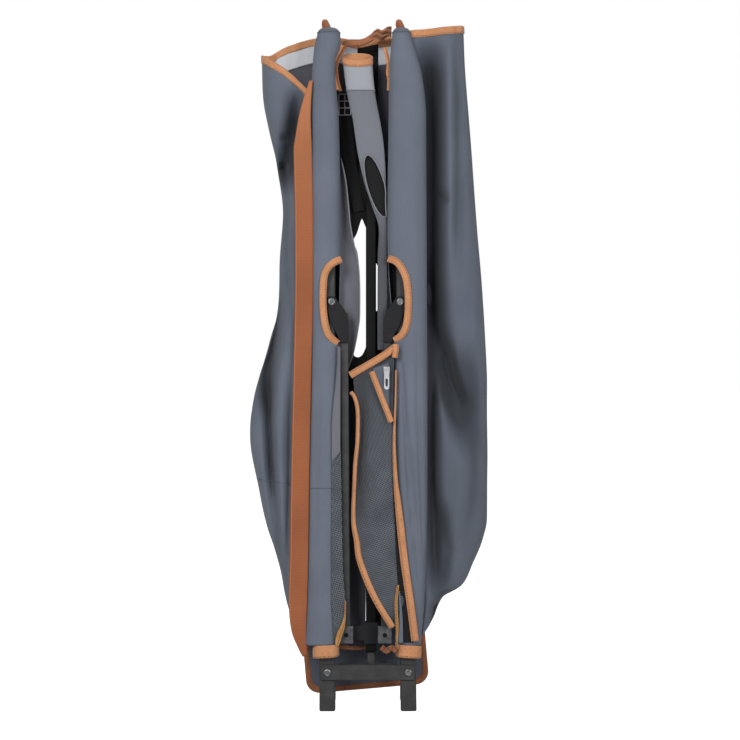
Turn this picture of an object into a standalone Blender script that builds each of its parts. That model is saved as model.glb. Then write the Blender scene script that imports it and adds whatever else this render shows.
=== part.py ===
"""Collapsible golf bag on a folding stand frame, folded for storage.

Two sleeved uprights are riveted to a short foot crossbar and splay apart at the top.
A stay on each upright runs down to a runner that slides on the centre post.
A rear stand hinges on the post, and the bag's fabric hangs on the uprights.
Metres, +Z up, -Y is the front. The origin is on the floor under the middle of the bundle.
"""

import math

import bmesh
import bpy
from mathutils import Matrix, Vector

# ---------------------------------------------------------------- driving dimensions
GAP = 0.0003  # clearance between faces that touch on the real thing
RUN = 0.0004  # running clearance of a pin in its hole

FRAME_Y = -0.02705  # plane of the uprights' axes, so that the bundle is centred in depth

UPRIGHT_SIDE = 0.022
UPRIGHT_WALL = 0.0015
UPRIGHT_TOP = 0.915
UPRIGHT_X = 0.0565  # half the distance between the uprights
DRAWN_X = 0.0565  # the cloth's outlines are drawn for uprights this far out
DRAWN_SIDE = 0.022  # and for tubes of this side
OUTWARD = UPRIGHT_X - DRAWN_X  # the cloth moves out with the uprights
SWELL = (UPRIGHT_SIDE - DRAWN_SIDE) / 2  # and swells round a wider tube
PLUG_DEPTH = 0.018

CROSSBAR_Z = 0.0546
CROSSBAR_HEIGHT = 0.022
CROSSBAR_OVERHANG = 0.0090  # past the rivet
CROSSBAR_SHEET = 0.003
CHANNEL_DEPTH = 0.0125
CHANNEL_CLEARANCE = 0.004  # room for the uprights to swing beside the channel
RIVET_RADIUS = 0.0030
RIVET_HEAD_RADIUS = 0.0058
RIVET_HEAD = 0.0016

POST_X = 0.0045
POST_WIDTH = 0.0145
POST_DEPTH = 0.010
POST_BOTTOM = 0.080
POST_TOP = 0.800
POST_BACK = 0.008  # distance of the post's front face behind the uprights' plane

STAY_WIDTH = 0.011
STAY_DEPTH = 0.011
STAY_WALL = 0.0012
STAY_PIVOT_Z = 0.571
STAY_PIVOT_INSET = 0.006  # the pivot rivet sits this far inside the upright's axis
STAY_FROM_PIVOT = (0.0013 + (UPRIGHT_SIDE + STAY_WIDTH) / 2, -0.015)  # the tube's upper end, inward and up
STAY_FOOT_DROP = 0.009  # the tube ends this far below the clip's pin
CLIP_Z = 0.107
CLIP_WIDTH = STAY_WIDTH + 0.009
CLIP_HEIGHT = 0.025
CLIP_SHEET = 0.0015
PLATE_SHEET = 0.003
PIN_RADIUS = 0.0025
PIN_SLOP = 0.0012  # play of the clip pins in the runner, the linkage's open pivot
RUNNER_PLATE = 0.003
RUNNER_WALL = 0.002
RUNNER_HEIGHT = 0.030

STAND_Y = 0.0765  # distance of the rear legs' axes behind the uprights' plane
STAND_SIDE = 0.020
STAND_WALL = 0.0015
STAND_PIVOT_Z = 0.728
STAND_TUBE_RADIUS = 0.007
HINGE_WIDTH = 0.010

CLOTH = 0.0024
BAND = 0.0036  # doubled binding tape
BINDING_WIDTH = 0.0105
SLEEVE_BOTTOM = 0.084
SLEEVE_TOP = UPRIGHT_TOP + 0.0305
SLEEVE_HALF_DEPTH = 0.0188 + SWELL
SLEEVE_HEM = 0.0135
CUTOUT_LOW = 0.512
CUTOUT_HIGH = 0.626
CUTOUT_CORNER = 0.020

BOARD_LOW = 0.0185
BOARD_HIGH = 0.1160
BOARD_HALF_WIDTH = 0.0885
BOARD_X = -0.0035
BOARD_TILT = math.radians(5.0)  # the loose board hangs a little askew
BOARD_CORNER = 0.016
BOARD_THICKNESS = 0.005
BOARD_BACK = 0.0560
BOARD_BINDING = 0.0095

STRAP_WIDTH = 0.0245
STRAP_THICKNESS = 0.0016
STRAP_LINE = [
    (0.854, -0.0840), (0.820, -0.0875), (0.784, -0.0903), (0.700, -0.0895), (0.574, -0.0895),
    (0.434, -0.0920),
    (0.294, -0.0945), (0.210, -0.0960), (0.154, -0.0965), (0.118, -0.0930), (0.093, -0.0865),
]

LEFT, RIGHT = -1, 1
SIDES = ((LEFT, "left"), (RIGHT, "right"))
LEAN = {LEFT: 0.0, RIGHT: math.radians(0.6)}  # how far each upright leans in when folded
CLIP_X = {LEFT: STAY_WIDTH / 2 + SWELL - 0.0355, RIGHT: 0.0293 - SWELL - STAY_WIDTH / 2}
WINDOW_EDGE = {LEFT: 0.0560 + OUTWARD, RIGHT: 0.0515 + OUTWARD}

# Each table lists (height, distance from the centre plane); a smooth curve runs through it.
LEFT_SLEEVE_OUTER = [(0.070, 0.0750), (0.15, 0.0790), (0.84, 0.0795), (0.90, 0.0765), (0.9455, 0.0700)]
LEFT_SLEEVE_INNER = [(0.070, 0.0415), (0.15, 0.0405), (0.50, 0.0395), (0.90, 0.0385), (0.9455, 0.0440)]
RIGHT_SLEEVE_OUTER = [
    (0.070, 0.0725), (0.15, 0.0790), (0.30, 0.0830), (0.84, 0.0825), (0.90, 0.0765), (0.9455, 0.0600),
]
RIGHT_SLEEVE_INNER = [
    (0.070, 0.0400), (0.15, 0.0385), (0.48, 0.0362), (0.53, 0.0362), (0.63, 0.0305), (0.90, 0.0300),
    (0.9455, 0.0330),
]
LEFT_FOLD = [
    (0.088, 0.0930), (0.12, 0.1060), (0.16, 0.1165), (0.20, 0.1245), (0.26, 0.1450), (0.32, 0.1562),
    (0.37, 0.1652), (0.41, 0.1652), (0.45, 0.1570), (0.51, 0.1390), (0.56, 0.1275), (0.63, 0.1240),
    (0.70, 0.1190),
    (0.77, 0.1290), (0.84, 0.1450), (0.90, 0.1490), (0.96, 0.1490),
]
RIGHT_FOLD = [
    (0.108, 0.0925), (0.126, 0.0955), (0.146, 0.1020), (0.165, 0.1160), (0.182, 0.1340), (0.210, 0.1480),
    (0.238, 0.1575), (0.28, 0.16265), (0.45, 0.16265), (0.55, 0.1600), (0.65, 0.1535), (0.75, 0.1465),
    (0.85, 0.1400),
    (0.96, 0.1340),
]
FLAP_BOTTOM = {LEFT: 0.090, RIGHT: 0.108}
SEAM_GAP = 0.0014
PANEL_RISES = [0, 0.03, 0.07, 0.12, 0.18, 0.25, 0.33, 0.42, 0.51, 0.60, 0.69, 0.78, 0.85, 0.90, 0.94, 0.97, 1]
FLAP_FRONT = -0.0085  # how far the front layer stands from the uprights' plane
FLAP_BACK = 0.0470
BACK_END = [(0.08, 0.0035), (0.44, 0.0035), (0.50, 0.0200), (0.68, 0.0200), (0.74, 0.0150), (0.96, 0.0150)]

# ---------------------------------------------------------------- scene and materials
for leftover in list(bpy.data.objects):
    bpy.data.objects.remove(leftover, do_unlink=True)

PARTS = bpy.data.collections.new("folding_golf_bag")
CUTTERS = bpy.data.collections.new("cutters")
for collection in (PARTS, CUTTERS):
    bpy.context.scene.collection.children.link(collection)


def make_material(name, colour, roughness, metallic=0.0):
    made = bpy.data.materials.new(name)
    made.use_nodes = True
    shader = made.node_tree.nodes["Principled BSDF"]
    shader.inputs["Base Color"].default_value = (*colour, 1.0)
    shader.inputs["Roughness"].default_value = roughness
    shader.inputs["Metallic"].default_value = metallic
    return made


BLACK_STEEL = make_material("black_steel", (0.045, 0.045, 0.047), 0.5, 0.3)
BARE_STEEL = make_material("zinc_steel", (0.42, 0.42, 0.43), 0.35, 1.0)
BLACK_PLASTIC = make_material("black_plastic", (0.015, 0.015, 0.017), 0.55)
SLATE_CLOTH = make_material("slate_cloth", (0.150, 0.172, 0.215), 0.75)
GREY_LINING = make_material("grey_lining", (0.20, 0.205, 0.23), 0.8)
BLACK_CLOTH = make_material("black_cloth", (0.02, 0.02, 0.022), 0.85)
COPPER_TAPE = make_material("copper_tape", (0.52, 0.25, 0.12), 0.8)
STRAP_WEBBING = make_material("strap_webbing", (0.33, 0.12, 0.055), 0.8)
POCKET_MESH = make_material("pocket_mesh", (0.05, 0.052, 0.058), 0.85)


# ---------------------------------------------------------------- helpers
def depth(d):
    """World y of a point d behind the uprights' plane."""
    return FRAME_Y + d


def pivot(name, x, d, z):
    """An empty on a joint's axis, which carries the pieces of one moving group."""
    empty = bpy.data.objects.new(name, None)
    empty.location = (x, depth(d), z)
    empty.empty_display_size = 0.02
    PARTS.objects.link(empty)
    return empty


def add_mesh(name, mesh_data, material, group, origin=(0.0, 0.0, 0.0), cutter=False):
    """Links a mesh drawn in world coordinates as an object whose origin is the group's pivot."""
    start = group.location.copy() if group else Vector(origin)
    mesh = bpy.data.meshes.new(name)
    mesh_data.to_mesh(mesh)
    mesh_data.free()
    mesh.transform(Matrix.Translation(-start))
    thing = bpy.data.objects.new(name, mesh)
    (CUTTERS if cutter else PARTS).objects.link(thing)
    if group:
        thing.parent = group
    else:
        thing.location = start
    if cutter:
        thing.hide_render = True
        thing.display_type = "WIRE"
    else:
        mesh.materials.append(material)
        mesh.shade_smooth()
        mesh.set_sharp_from_angle(angle=math.radians(35))
    return thing


def bevel(thing, width, segments=1):
    modifier = thing.modifiers.new("edges", "BEVEL")
    modifier.width = width
    modifier.segments = segments
    modifier.limit_method = "ANGLE"
    modifier.angle_limit = math.radians(50)


def block(name, low, high, material=None, group=None, edge=0.0, cutter=False):
    """A box between two corners, given as (x, depth, z)."""
    low = Vector((low[0], depth(low[1]), low[2]))
    high = Vector((high[0], depth(high[1]), high[2]))
    data = bmesh.new()
    bmesh.ops.create_cube(data, size=1.0)
    size = high - low
    bmesh.ops.scale(data, vec=size, verts=data.verts)
    bmesh.ops.translate(data, vec=(low + high) / 2, verts=data.verts)
    thing = add_mesh(name, data, material, group, cutter=cutter)
    if edge:
        bevel(thing, edge)
    return thing


def rod_data(axis, radius, start, end, sides=16):
    """A bmesh cylinder between two points that lie along one of the axes."""
    data = bmesh.new()
    length = (Vector(end) - Vector(start)).length
    bmesh.ops.create_cone(
        data, cap_ends=True, segments=sides, radius1=radius, radius2=radius, depth=length
    )
    turn = {
        "x": Matrix.Rotation(math.pi / 2, 3, "Y"),
        "y": Matrix.Rotation(math.pi / 2, 3, "X"),
        "z": Matrix.Identity(3),
    }
    bmesh.ops.rotate(data, cent=(0, 0, 0), matrix=turn[axis], verts=data.verts)
    middle = (Vector(start) + Vector(end)) / 2
    bmesh.ops.translate(data, vec=(middle.x, depth(middle.y), middle.z), verts=data.verts)
    return data


def rod(name, axis, radius, start, end, material=None, group=None, cutter=False, sides=16):
    return add_mesh(name, rod_data(axis, radius, start, end, sides), material, group, cutter=cutter)


def boolean(thing, other, operation="DIFFERENCE"):
    modifier = thing.modifiers.new(other.name, "BOOLEAN")
    modifier.object = other
    modifier.operation = operation
    modifier.solver = "EXACT"


def turned(name, profile, place, axis, material, group, steps=16):
    """A turned piece: its profile lists (radius, distance along the axis), the far end first."""
    mesh = bpy.data.meshes.new(name)
    edges = [(i, i + 1) for i in range(len(profile) - 1)]
    mesh.from_pydata([(radius, 0.0, along) for radius, along in profile], edges, [])
    thing = bpy.data.objects.new(name, mesh)
    PARTS.objects.link(thing)
    thing.parent = group
    thing.location = Vector((place[0], depth(place[1]), place[2])) - group.location
    if axis == "y":
        thing.rotation_euler = (math.pi / 2, 0, 0)
    mesh.materials.append(material)
    spin = thing.modifiers.new("turn", "SCREW")
    spin.axis = "Z"
    spin.angle = 2 * math.pi
    spin.screw_offset = 0.0
    spin.steps = steps
    spin.render_steps = steps
    spin.use_merge_vertices = True
    spin.merge_threshold = 0.00001
    spin.use_smooth_shade = True
    return thing


def rivet(name, x, z, front, back, group, radius=RIVET_RADIUS, head=RIVET_HEAD_RADIUS, rise=RIVET_HEAD):
    """A domed rivet along the depth, with a shank through the work and a head at each end."""
    length = back - front
    profile = [
        (0.0, rise), (head * 0.55, rise * 0.85), (head, rise * 0.15), (head, 0.0), (radius, 0.0),
        (radius, -length), (head, -length), (head * 0.9, -length - rise * 0.6), (0.0, -length - rise * 0.7),
    ]
    return turned(name, profile, (x, front, z), "y", BARE_STEEL, group)


def smooth_value(table, z):
    """A smooth curve through a table of (height, value), flat beyond its ends."""
    if z <= table[0][0]:
        return table[0][1]
    if z >= table[-1][0]:
        return table[-1][1]
    for i in range(len(table) - 1):
        (z0, v0), (z1, v1) = table[i], table[i + 1]
        if z <= z1:
            before = table[max(i - 1, 0)]
            after = table[min(i + 2, len(table) - 1)]
            slope0 = (v1 - before[1]) / (z1 - before[0])
            slope1 = (after[1] - v0) / (after[0] - z0)
            span, t = z1 - z0, (z - z0) / (z1 - z0)
            return (
                v0 * (2 * t**3 - 3 * t**2 + 1)
                + v1 * (3 * t**2 - 2 * t**3)
                + span * slope0 * (t**3 - 2 * t**2 + t)
                + span * slope1 * (t**3 - t**2)
            )


def smooth_line(points, share):
    """A point on the smooth curve through the given points; share runs from 0 to 1."""
    last = len(points) - 1
    i = min(int(share * last), last - 1)
    t = share * last - i
    p0, p1, p2, p3 = points[max(i - 1, 0)], points[i], points[i + 1], points[min(i + 2, last)]
    square = 2 * p0 - 5 * p1 + 4 * p2 - p3
    cube = 3 * p1 - p0 - 3 * p2 + p3
    return 0.5 * (2 * p1 + (p2 - p0) * t + square * t**2 + cube * t**3)


def loft(rows, closed=False):
    """A bmesh surface through rows of points, which all have the same count."""
    data = bmesh.new()
    grid = [[data.verts.new((p[0], depth(p[1]), p[2])) for p in row] for row in rows]
    count = len(grid[0])
    for lower, upper in zip(grid, grid[1:]):
        for i in range(count if closed else count - 1):
            j = (i + 1) % count
            data.faces.new((lower[i], lower[j], upper[j], upper[i]))
    return data, grid


def sheet(name, rows, thickness, material, group):
    """Cloth through rows of points, with its thickness shared between both sides."""
    data, _ = loft(rows)
    thing = add_mesh(name, data, material, group)
    shell = thing.modifiers.new("cloth", "SOLIDIFY")
    shell.thickness = thickness
    shell.offset = 0.0
    shell.use_even_offset = True
    return thing


def ribbon(name, line, width, thickness, material, group, across=None):
    """A flat band of tape that follows a line of (x, depth, z) points in a nearly upright plane."""
    rows = []
    for i, point in enumerate(line):
        along = Vector(line[min(i + 1, len(line) - 1)]) - Vector(line[max(i - 1, 0)])
        side = across or along.cross(Vector((0, 1, 0))).normalized()
        rows.append([Vector(point) - side * width / 2, Vector(point) + side * width / 2])
    return sheet(name, rows, thickness, material, group)


# ---------------------------------------------------------------- frame
def square_tube(name, x, y, z_low, z_high, side, wall, group):
    half = side / 2
    tube = block(
        name, (x - half, y - half, z_low), (x + half, y + half, z_high), BLACK_STEEL, group, edge=0.0015,
    )
    inner = half - wall
    bore = block(
        name + "_bore", (x - inner, y - inner, z_low - 0.01), (x + inner, y + inner, z_high + 0.01),
        group=group, cutter=True,
    )
    boolean(tube, bore)
    return tube


def plug(name, x, y, z_end, up, side, wall, group):
    """A moulded end plug inside a square tube, its face flush with the tube's end."""
    inner = side / 2 - wall - GAP
    low, high = (z_end, z_end + PLUG_DEPTH) if up else (z_end - PLUG_DEPTH, z_end)
    return block(
        name, (x - inner, y - inner, low), (x + inner, y + inner, high), BLACK_PLASTIC, group, edge=0.0008,
    )


def rivet_hole(thing, x, z, radius, group, reach=0.03):
    name = f"{thing.name}_hole_{round(z * 1000)}"
    boolean(thing, rod(name, "y", radius, (x, -reach, z), (x, reach, z), group=group, cutter=True))


def upright(side, word, group):
    x = side * UPRIGHT_X
    foot = UPRIGHT_SIDE / 2 * math.sin(LEAN[side])
    tube = square_tube(f"{word}_upright", x, 0, foot, UPRIGHT_TOP, UPRIGHT_SIDE, UPRIGHT_WALL, group)
    rivet_hole(tube, x, CROSSBAR_Z, RIVET_RADIUS + RUN, group)
    stay_x = side * (UPRIGHT_X - STAY_PIVOT_INSET)
    rivet_hole(tube, stay_x, STAY_PIVOT_Z, RIVET_RADIUS + RUN, group)
    plug(f"{word}_foot_plug", x, 0, foot, True, UPRIGHT_SIDE, UPRIGHT_WALL, group)
    plug(f"{word}_top_plug", x, 0, UPRIGHT_TOP, False, UPRIGHT_SIDE, UPRIGHT_WALL, group)
    front = -UPRIGHT_SIDE / 2 - PLATE_SHEET - 2 * GAP
    rivet(f"{word}_stay_rivet", stay_x, STAY_PIVOT_Z, front, UPRIGHT_SIDE / 2 + GAP, group)


def crossbar(group):
    """A pressed channel whose ends are flattened into tabs in front of the uprights."""
    half_height = CROSSBAR_HEIGHT / 2
    front = -UPRIGHT_SIDE / 2 - GAP - CROSSBAR_SHEET
    end = UPRIGHT_X + CROSSBAR_OVERHANG
    bar = block(
        "foot_crossbar", (-end, front, CROSSBAR_Z - half_height),
        (end, front + CHANNEL_DEPTH, CROSSBAR_Z + half_height),
        BLACK_STEEL, group, edge=0.0012,
    )
    channel = UPRIGHT_X - UPRIGHT_SIDE / 2 - CHANNEL_CLEARANCE
    hollow = channel - CROSSBAR_SHEET
    for name, low_x, high_x, low_z, high_z in (
        ("left_tab_clearance", -end - 0.01, -channel, -0.02, 0.02),
        ("right_tab_clearance", channel, end + 0.01, -0.02, 0.02),
        ("channel_hollow", -hollow, hollow, -half_height + CROSSBAR_SHEET, half_height - CROSSBAR_SHEET),
    ):
        boolean(bar, block(
            name, (low_x, front + CROSSBAR_SHEET, CROSSBAR_Z + low_z),
            (high_x, front + 0.03, CROSSBAR_Z + high_z),
            group=group, cutter=True,
        ))
    for side, word in SIDES:
        hole = rod(
            f"{word}_tab_hole", "y", RIVET_RADIUS + GAP,
            (side * UPRIGHT_X, -0.03, CROSSBAR_Z), (side * UPRIGHT_X, 0.03, CROSSBAR_Z), group=group,
            cutter=True,
        )
        boolean(bar, hole)
        rivet(
            f"{word}_crossbar_rivet", side * UPRIGHT_X, CROSSBAR_Z, front - GAP, UPRIGHT_SIDE / 2 + GAP,
            group,
        )


def post(group):
    """The centre post, its foot bracket and the screws that hold them together."""
    half = POST_WIDTH / 2
    block(
        "center_post", (POST_X - half, POST_BACK, POST_BOTTOM),
        (POST_X + half, POST_BACK + POST_DEPTH, POST_TOP),
        BLACK_STEEL, group, edge=0.001,
    )
    channel_back = -UPRIGHT_SIDE / 2 - GAP - CROSSBAR_SHEET + CHANNEL_DEPTH
    top, foot = CROSSBAR_Z + CROSSBAR_HEIGHT / 2, CROSSBAR_Z - CROSSBAR_HEIGHT / 2
    bracket = block(
        "post_foot_bracket", (POST_X - 0.005, channel_back + GAP, foot),
        (POST_X + 0.005, POST_BACK + POST_DEPTH, POST_BOTTOM - GAP),
        BLACK_STEEL, group, edge=0.0008,
    )
    step = block(
        "bracket_step", (POST_X - 0.02, channel_back + GAP + 0.004, foot - 0.01), (POST_X + 0.02, 0.03, top),
        group=group, cutter=True,
    )
    boolean(bracket, step)


# ---------------------------------------------------------------- stays and runner
def stay_pivot(side):
    """Where the stay's rivet sits once the upright has its lean, as (x, 0, z)."""
    inset, rise = STAY_PIVOT_INSET, STAY_PIVOT_Z - CROSSBAR_Z
    c, s = math.cos(LEAN[side]), math.sin(LEAN[side])
    return Vector((side * (UPRIGHT_X - inset * c - rise * s), 0, CROSSBAR_Z + rise * c - inset * s))


def stay_frame(side):
    """The upper and lower ends of a stay's centre line."""
    top = stay_pivot(side) + Vector((-side * STAY_FROM_PIVOT[0], 0, STAY_FROM_PIVOT[1]))
    pin = Vector((CLIP_X[side], 0, CLIP_Z))
    return top, pin + (pin - top).normalized() * STAY_FOOT_DROP


def stay(side, word, group):
    top, foot = stay_frame(side)
    lean = math.atan2(top.x - foot.x, top.z - foot.z)
    length = (top - foot).length
    data = bmesh.new()
    bmesh.ops.create_cube(data, size=1.0)
    bmesh.ops.scale(data, vec=(STAY_WIDTH, STAY_DEPTH, length), verts=data.verts)
    turn = Matrix.Rotation(lean, 3, "Y")
    bmesh.ops.rotate(data, cent=(0, 0, 0), matrix=turn, verts=data.verts)
    middle = (top + foot) / 2
    front = -UPRIGHT_SIDE / 2
    centre = Vector((middle.x, depth(front + STAY_DEPTH / 2), middle.z))
    bmesh.ops.translate(data, vec=centre, verts=data.verts)
    tube = add_mesh(f"{word}_stay", data, BLACK_STEEL, group)
    bevel(tube, 0.001)
    bore = bmesh.new()
    bmesh.ops.create_cube(bore, size=1.0)
    inner = (STAY_WIDTH - 2 * STAY_WALL, STAY_DEPTH - 2 * STAY_WALL, length + 0.02)
    bmesh.ops.scale(bore, vec=inner, verts=bore.verts)
    bmesh.ops.rotate(bore, cent=(0, 0, 0), matrix=turn, verts=bore.verts)
    bmesh.ops.translate(bore, vec=centre, verts=bore.verts)
    boolean(tube, add_mesh(f"{word}_stay_bore", bore, None, group, cutter=True))
    pin_x, pin_z = CLIP_X[side], CLIP_Z
    boolean(tube, rod(
        f"{word}_stay_pin_hole", "y", PIN_RADIUS + GAP, (pin_x, -0.03, pin_z), (pin_x, 0.03, pin_z),
        group=group, cutter=True
    ))
    pivot_plate(side, word, group)
    clip(side, word, group)


def plate_outline(side):
    """The spade shape of a pivot plate: a round head on the rivet, a belly and a tail on the stay."""
    head = stay_pivot(side)
    radius = 0.0080
    turns = (-1.9, -1.2, -0.5, 0.2, 0.8)
    points = [head + Vector((-side * radius * math.sin(a), 0, radius * math.cos(a))) for a in turns]
    inward = -side
    tail = (
        (0.0190, -0.012), (0.0233, -0.028), (0.0237, -0.044), (0.0229, -0.057), (0.0125, -0.057),
        (0.0065, -0.044),
        (-0.0025, -0.026),
    )
    return points + [head + Vector((inward * x, 0, z)) for x, z in tail]


def pivot_plate(side, word, group):
    front = -UPRIGHT_SIDE / 2 - GAP - PLATE_SHEET
    data = bmesh.new()
    face = data.faces.new([data.verts.new((p.x, depth(front), p.z)) for p in plate_outline(side)])
    body = bmesh.ops.extrude_face_region(data, geom=[face])["geom"]
    moved = [v for v in body if isinstance(v, bmesh.types.BMVert)]
    bmesh.ops.translate(data, vec=(0, PLATE_SHEET, 0), verts=moved)
    bmesh.ops.recalc_face_normals(data, faces=data.faces)
    plate = add_mesh(f"{word}_pivot_plate", data, BLACK_PLASTIC, group)
    bevel(plate, 0.0006)
    pivot_point = stay_pivot(side)
    rivet_hole(plate, pivot_point.x, pivot_point.z, RIVET_RADIUS + RUN, group)


def clip(side, word, group):
    """A pressed steel clip folded round the stay's lower end, with the pin that goes to the runner."""
    half_w, half_h = CLIP_WIDTH / 2, CLIP_HEIGHT / 2
    x, front = CLIP_X[side], -UPRIGHT_SIDE / 2 - GAP - CLIP_SHEET
    back = front + CLIP_SHEET + STAY_DEPTH
    body = block(
        f"{word}_stay_clip", (x - half_w, front, CLIP_Z - half_h), (x + half_w, back, CLIP_Z + half_h),
        BARE_STEEL, group, edge=0.0008,
    )
    boolean(body, block(
        f"{word}_clip_hollow",
        (x - half_w + CLIP_SHEET, front + CLIP_SHEET, CLIP_Z - half_h - 0.01),
        (x + half_w - CLIP_SHEET, back + 0.01, CLIP_Z + half_h + 0.01),
        group=group, cutter=True,
    ))
    boolean(body, rod(
        f"{word}_clip_hole", "y", PIN_RADIUS + GAP, (x, -0.03, CLIP_Z), (x, 0.03, CLIP_Z), group=group,
        cutter=True
    ))
    pin_back = POST_BACK - RUN
    length = pin_back - (front - GAP)
    profile = [
        (0.0, 0.0014), (PIN_RADIUS * 1.9, 0.0012), (PIN_RADIUS * 1.9, 0.0), (PIN_RADIUS, 0.0),
        (PIN_RADIUS, -length + 0.0006), (PIN_RADIUS - 0.0006, -length), (0.0, -length),
    ]
    turned(f"{word}_clip_pin", profile, (x, front - GAP, CLIP_Z), "y", BARE_STEEL, group)


def runner(group):
    """The runner: a sleeve on the post, with a cross plate that takes both clip pins."""
    low, high = CLIP_Z - RUNNER_HEIGHT / 2, CLIP_Z + RUNNER_HEIGHT / 2
    half = POST_WIDTH / 2 + RUN + RUNNER_WALL
    plate_front = POST_BACK - RUN - RUNNER_PLATE
    plate = block(
        "runner", (CLIP_X[LEFT] - 0.008, plate_front, CLIP_Z - 0.010),
        (CLIP_X[RIGHT] + 0.008, plate_front + RUNNER_PLATE, CLIP_Z + 0.010), BLACK_PLASTIC, group,
    )
    sleeve = block(
        "runner_sleeve", (POST_X - half, plate_front, low),
        (POST_X + half, POST_BACK + POST_DEPTH + RUN + RUNNER_WALL, high),
        group=group, cutter=True,
    )
    boolean(plate, sleeve, "UNION")
    inner = POST_WIDTH / 2 + RUN
    boolean(plate, block(
        "runner_bore", (POST_X - inner, POST_BACK - RUN, low - 0.01),
        (POST_X + inner, POST_BACK + POST_DEPTH + RUN, high + 0.01),
        group=group, cutter=True,
    ))
    for side, word in SIDES:
        x = CLIP_X[side]
        boolean(plate, rod(
            f"{word}_runner_hole", "y", PIN_RADIUS + PIN_SLOP, (x, -0.02, CLIP_Z), (x, 0.05, CLIP_Z),
            group=group, cutter=True
        ))


# ---------------------------------------------------------------- rear stand
def rear_stand(group):
    x, half = UPRIGHT_X, STAND_SIDE / 2
    for side, word in SIDES:
        square_tube(
            f"stand_{word}_leg", side * x, STAND_Y, 0, STAND_PIVOT_Z + 0.012, STAND_SIDE, STAND_WALL, group,
        )
        plug(f"stand_{word}_foot_plug", side * x, STAND_Y, 0, True, STAND_SIDE, STAND_WALL, group)
    reach = x - half - GAP
    rod(
        "stand_cross_tube", "x", STAND_TUBE_RADIUS, (-reach, STAND_Y, STAND_PIVOT_Z),
        (reach, STAND_Y, STAND_PIVOT_Z),
        BLACK_STEEL, group, sides=20,
    )


def stand_hinge(group):
    """The arm that reaches back from the post and holds the stand's cross tube."""
    half = HINGE_WIDTH / 2
    rim = STAND_TUBE_RADIUS + 0.004
    arm = block(
        "stand_hinge_arm", (POST_X - half, POST_BACK + POST_DEPTH + GAP, STAND_PIVOT_Z - 0.009),
        (POST_X + half, STAND_Y, STAND_PIVOT_Z + 0.009), BLACK_PLASTIC, group,
    )
    eye = rod(
        "hinge_eye", "x", rim, (POST_X - half, STAND_Y, STAND_PIVOT_Z),
        (POST_X + half, STAND_Y, STAND_PIVOT_Z),
        group=group, cutter=True, sides=24,
    )
    boolean(arm, eye, "UNION")
    boolean(arm, rod(
        "hinge_bore", "x", STAND_TUBE_RADIUS + RUN, (-0.03, STAND_Y, STAND_PIVOT_Z),
        (0.03, STAND_Y, STAND_PIVOT_Z),
        group=group, cutter=True, sides=20,
    ))


# ---------------------------------------------------------------- sleeves
def sleeve_limits(side, z):
    outer, inner = (
        (LEFT_SLEEVE_OUTER, LEFT_SLEEVE_INNER) if side == LEFT else (RIGHT_SLEEVE_OUTER, RIGHT_SLEEVE_INNER)
    )
    return smooth_value(outer, z) + OUTWARD + SWELL, smooth_value(inner, z) + OUTWARD - SWELL


def sleeve_ring(side, z, grow=0.0, shrink=1.0, count=24):
    """A rounded, slightly square section of a sleeve; grow widens it all round."""
    outer, inner = sleeve_limits(side, z)
    middle, half = (outer + inner) / 2, (outer - inner) / 2 + grow
    taper = min(1.0, 0.62 + 0.38 * math.sqrt(max(0.0, (SLEEVE_TOP + 0.02 - z) / 0.085)))
    half_depth = SLEEVE_HALF_DEPTH * taper + grow
    ring = []
    for i in range(count):
        a = 2 * math.pi * i / count
        c, s = math.cos(a), math.sin(a)
        power = 0.62
        x = half * shrink * math.copysign(abs(c) ** power, c)
        y = half_depth * shrink * math.copysign(abs(s) ** power, s)
        ring.append((side * middle + x, y, z))
    return ring


def cutout_prism(name, side, grow, group, reach=0.06):
    """The rounded window on a sleeve's inner side, as a cutter that runs through its whole depth."""
    outer, inner = sleeve_limits(side, (CUTOUT_LOW + CUTOUT_HIGH) / 2)
    edge = WINDOW_EDGE[side] + grow
    x0, x1 = sorted((side * edge, side * (inner - 0.03)))
    prism = block(
        name, (x0, -reach, CUTOUT_LOW - grow), (x1, reach, CUTOUT_HIGH + grow), group=group, cutter=True,
    )
    data = bmesh.new()
    data.from_mesh(prism.data)
    corners = [
        e for e in data.edges
        if abs(e.verts[0].co.x - e.verts[1].co.x) < 1e-6 and abs(e.verts[0].co.z - e.verts[1].co.z) < 1e-6
        and side * (e.verts[0].co.x + group.location.x) > edge - 0.001
    ]
    bmesh.ops.bevel(
        data, geom=corners, offset=CUTOUT_CORNER, segments=6, profile=0.5, affect="EDGES", material=-1,
    )
    data.to_mesh(prism.data)
    data.free()
    return prism


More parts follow.
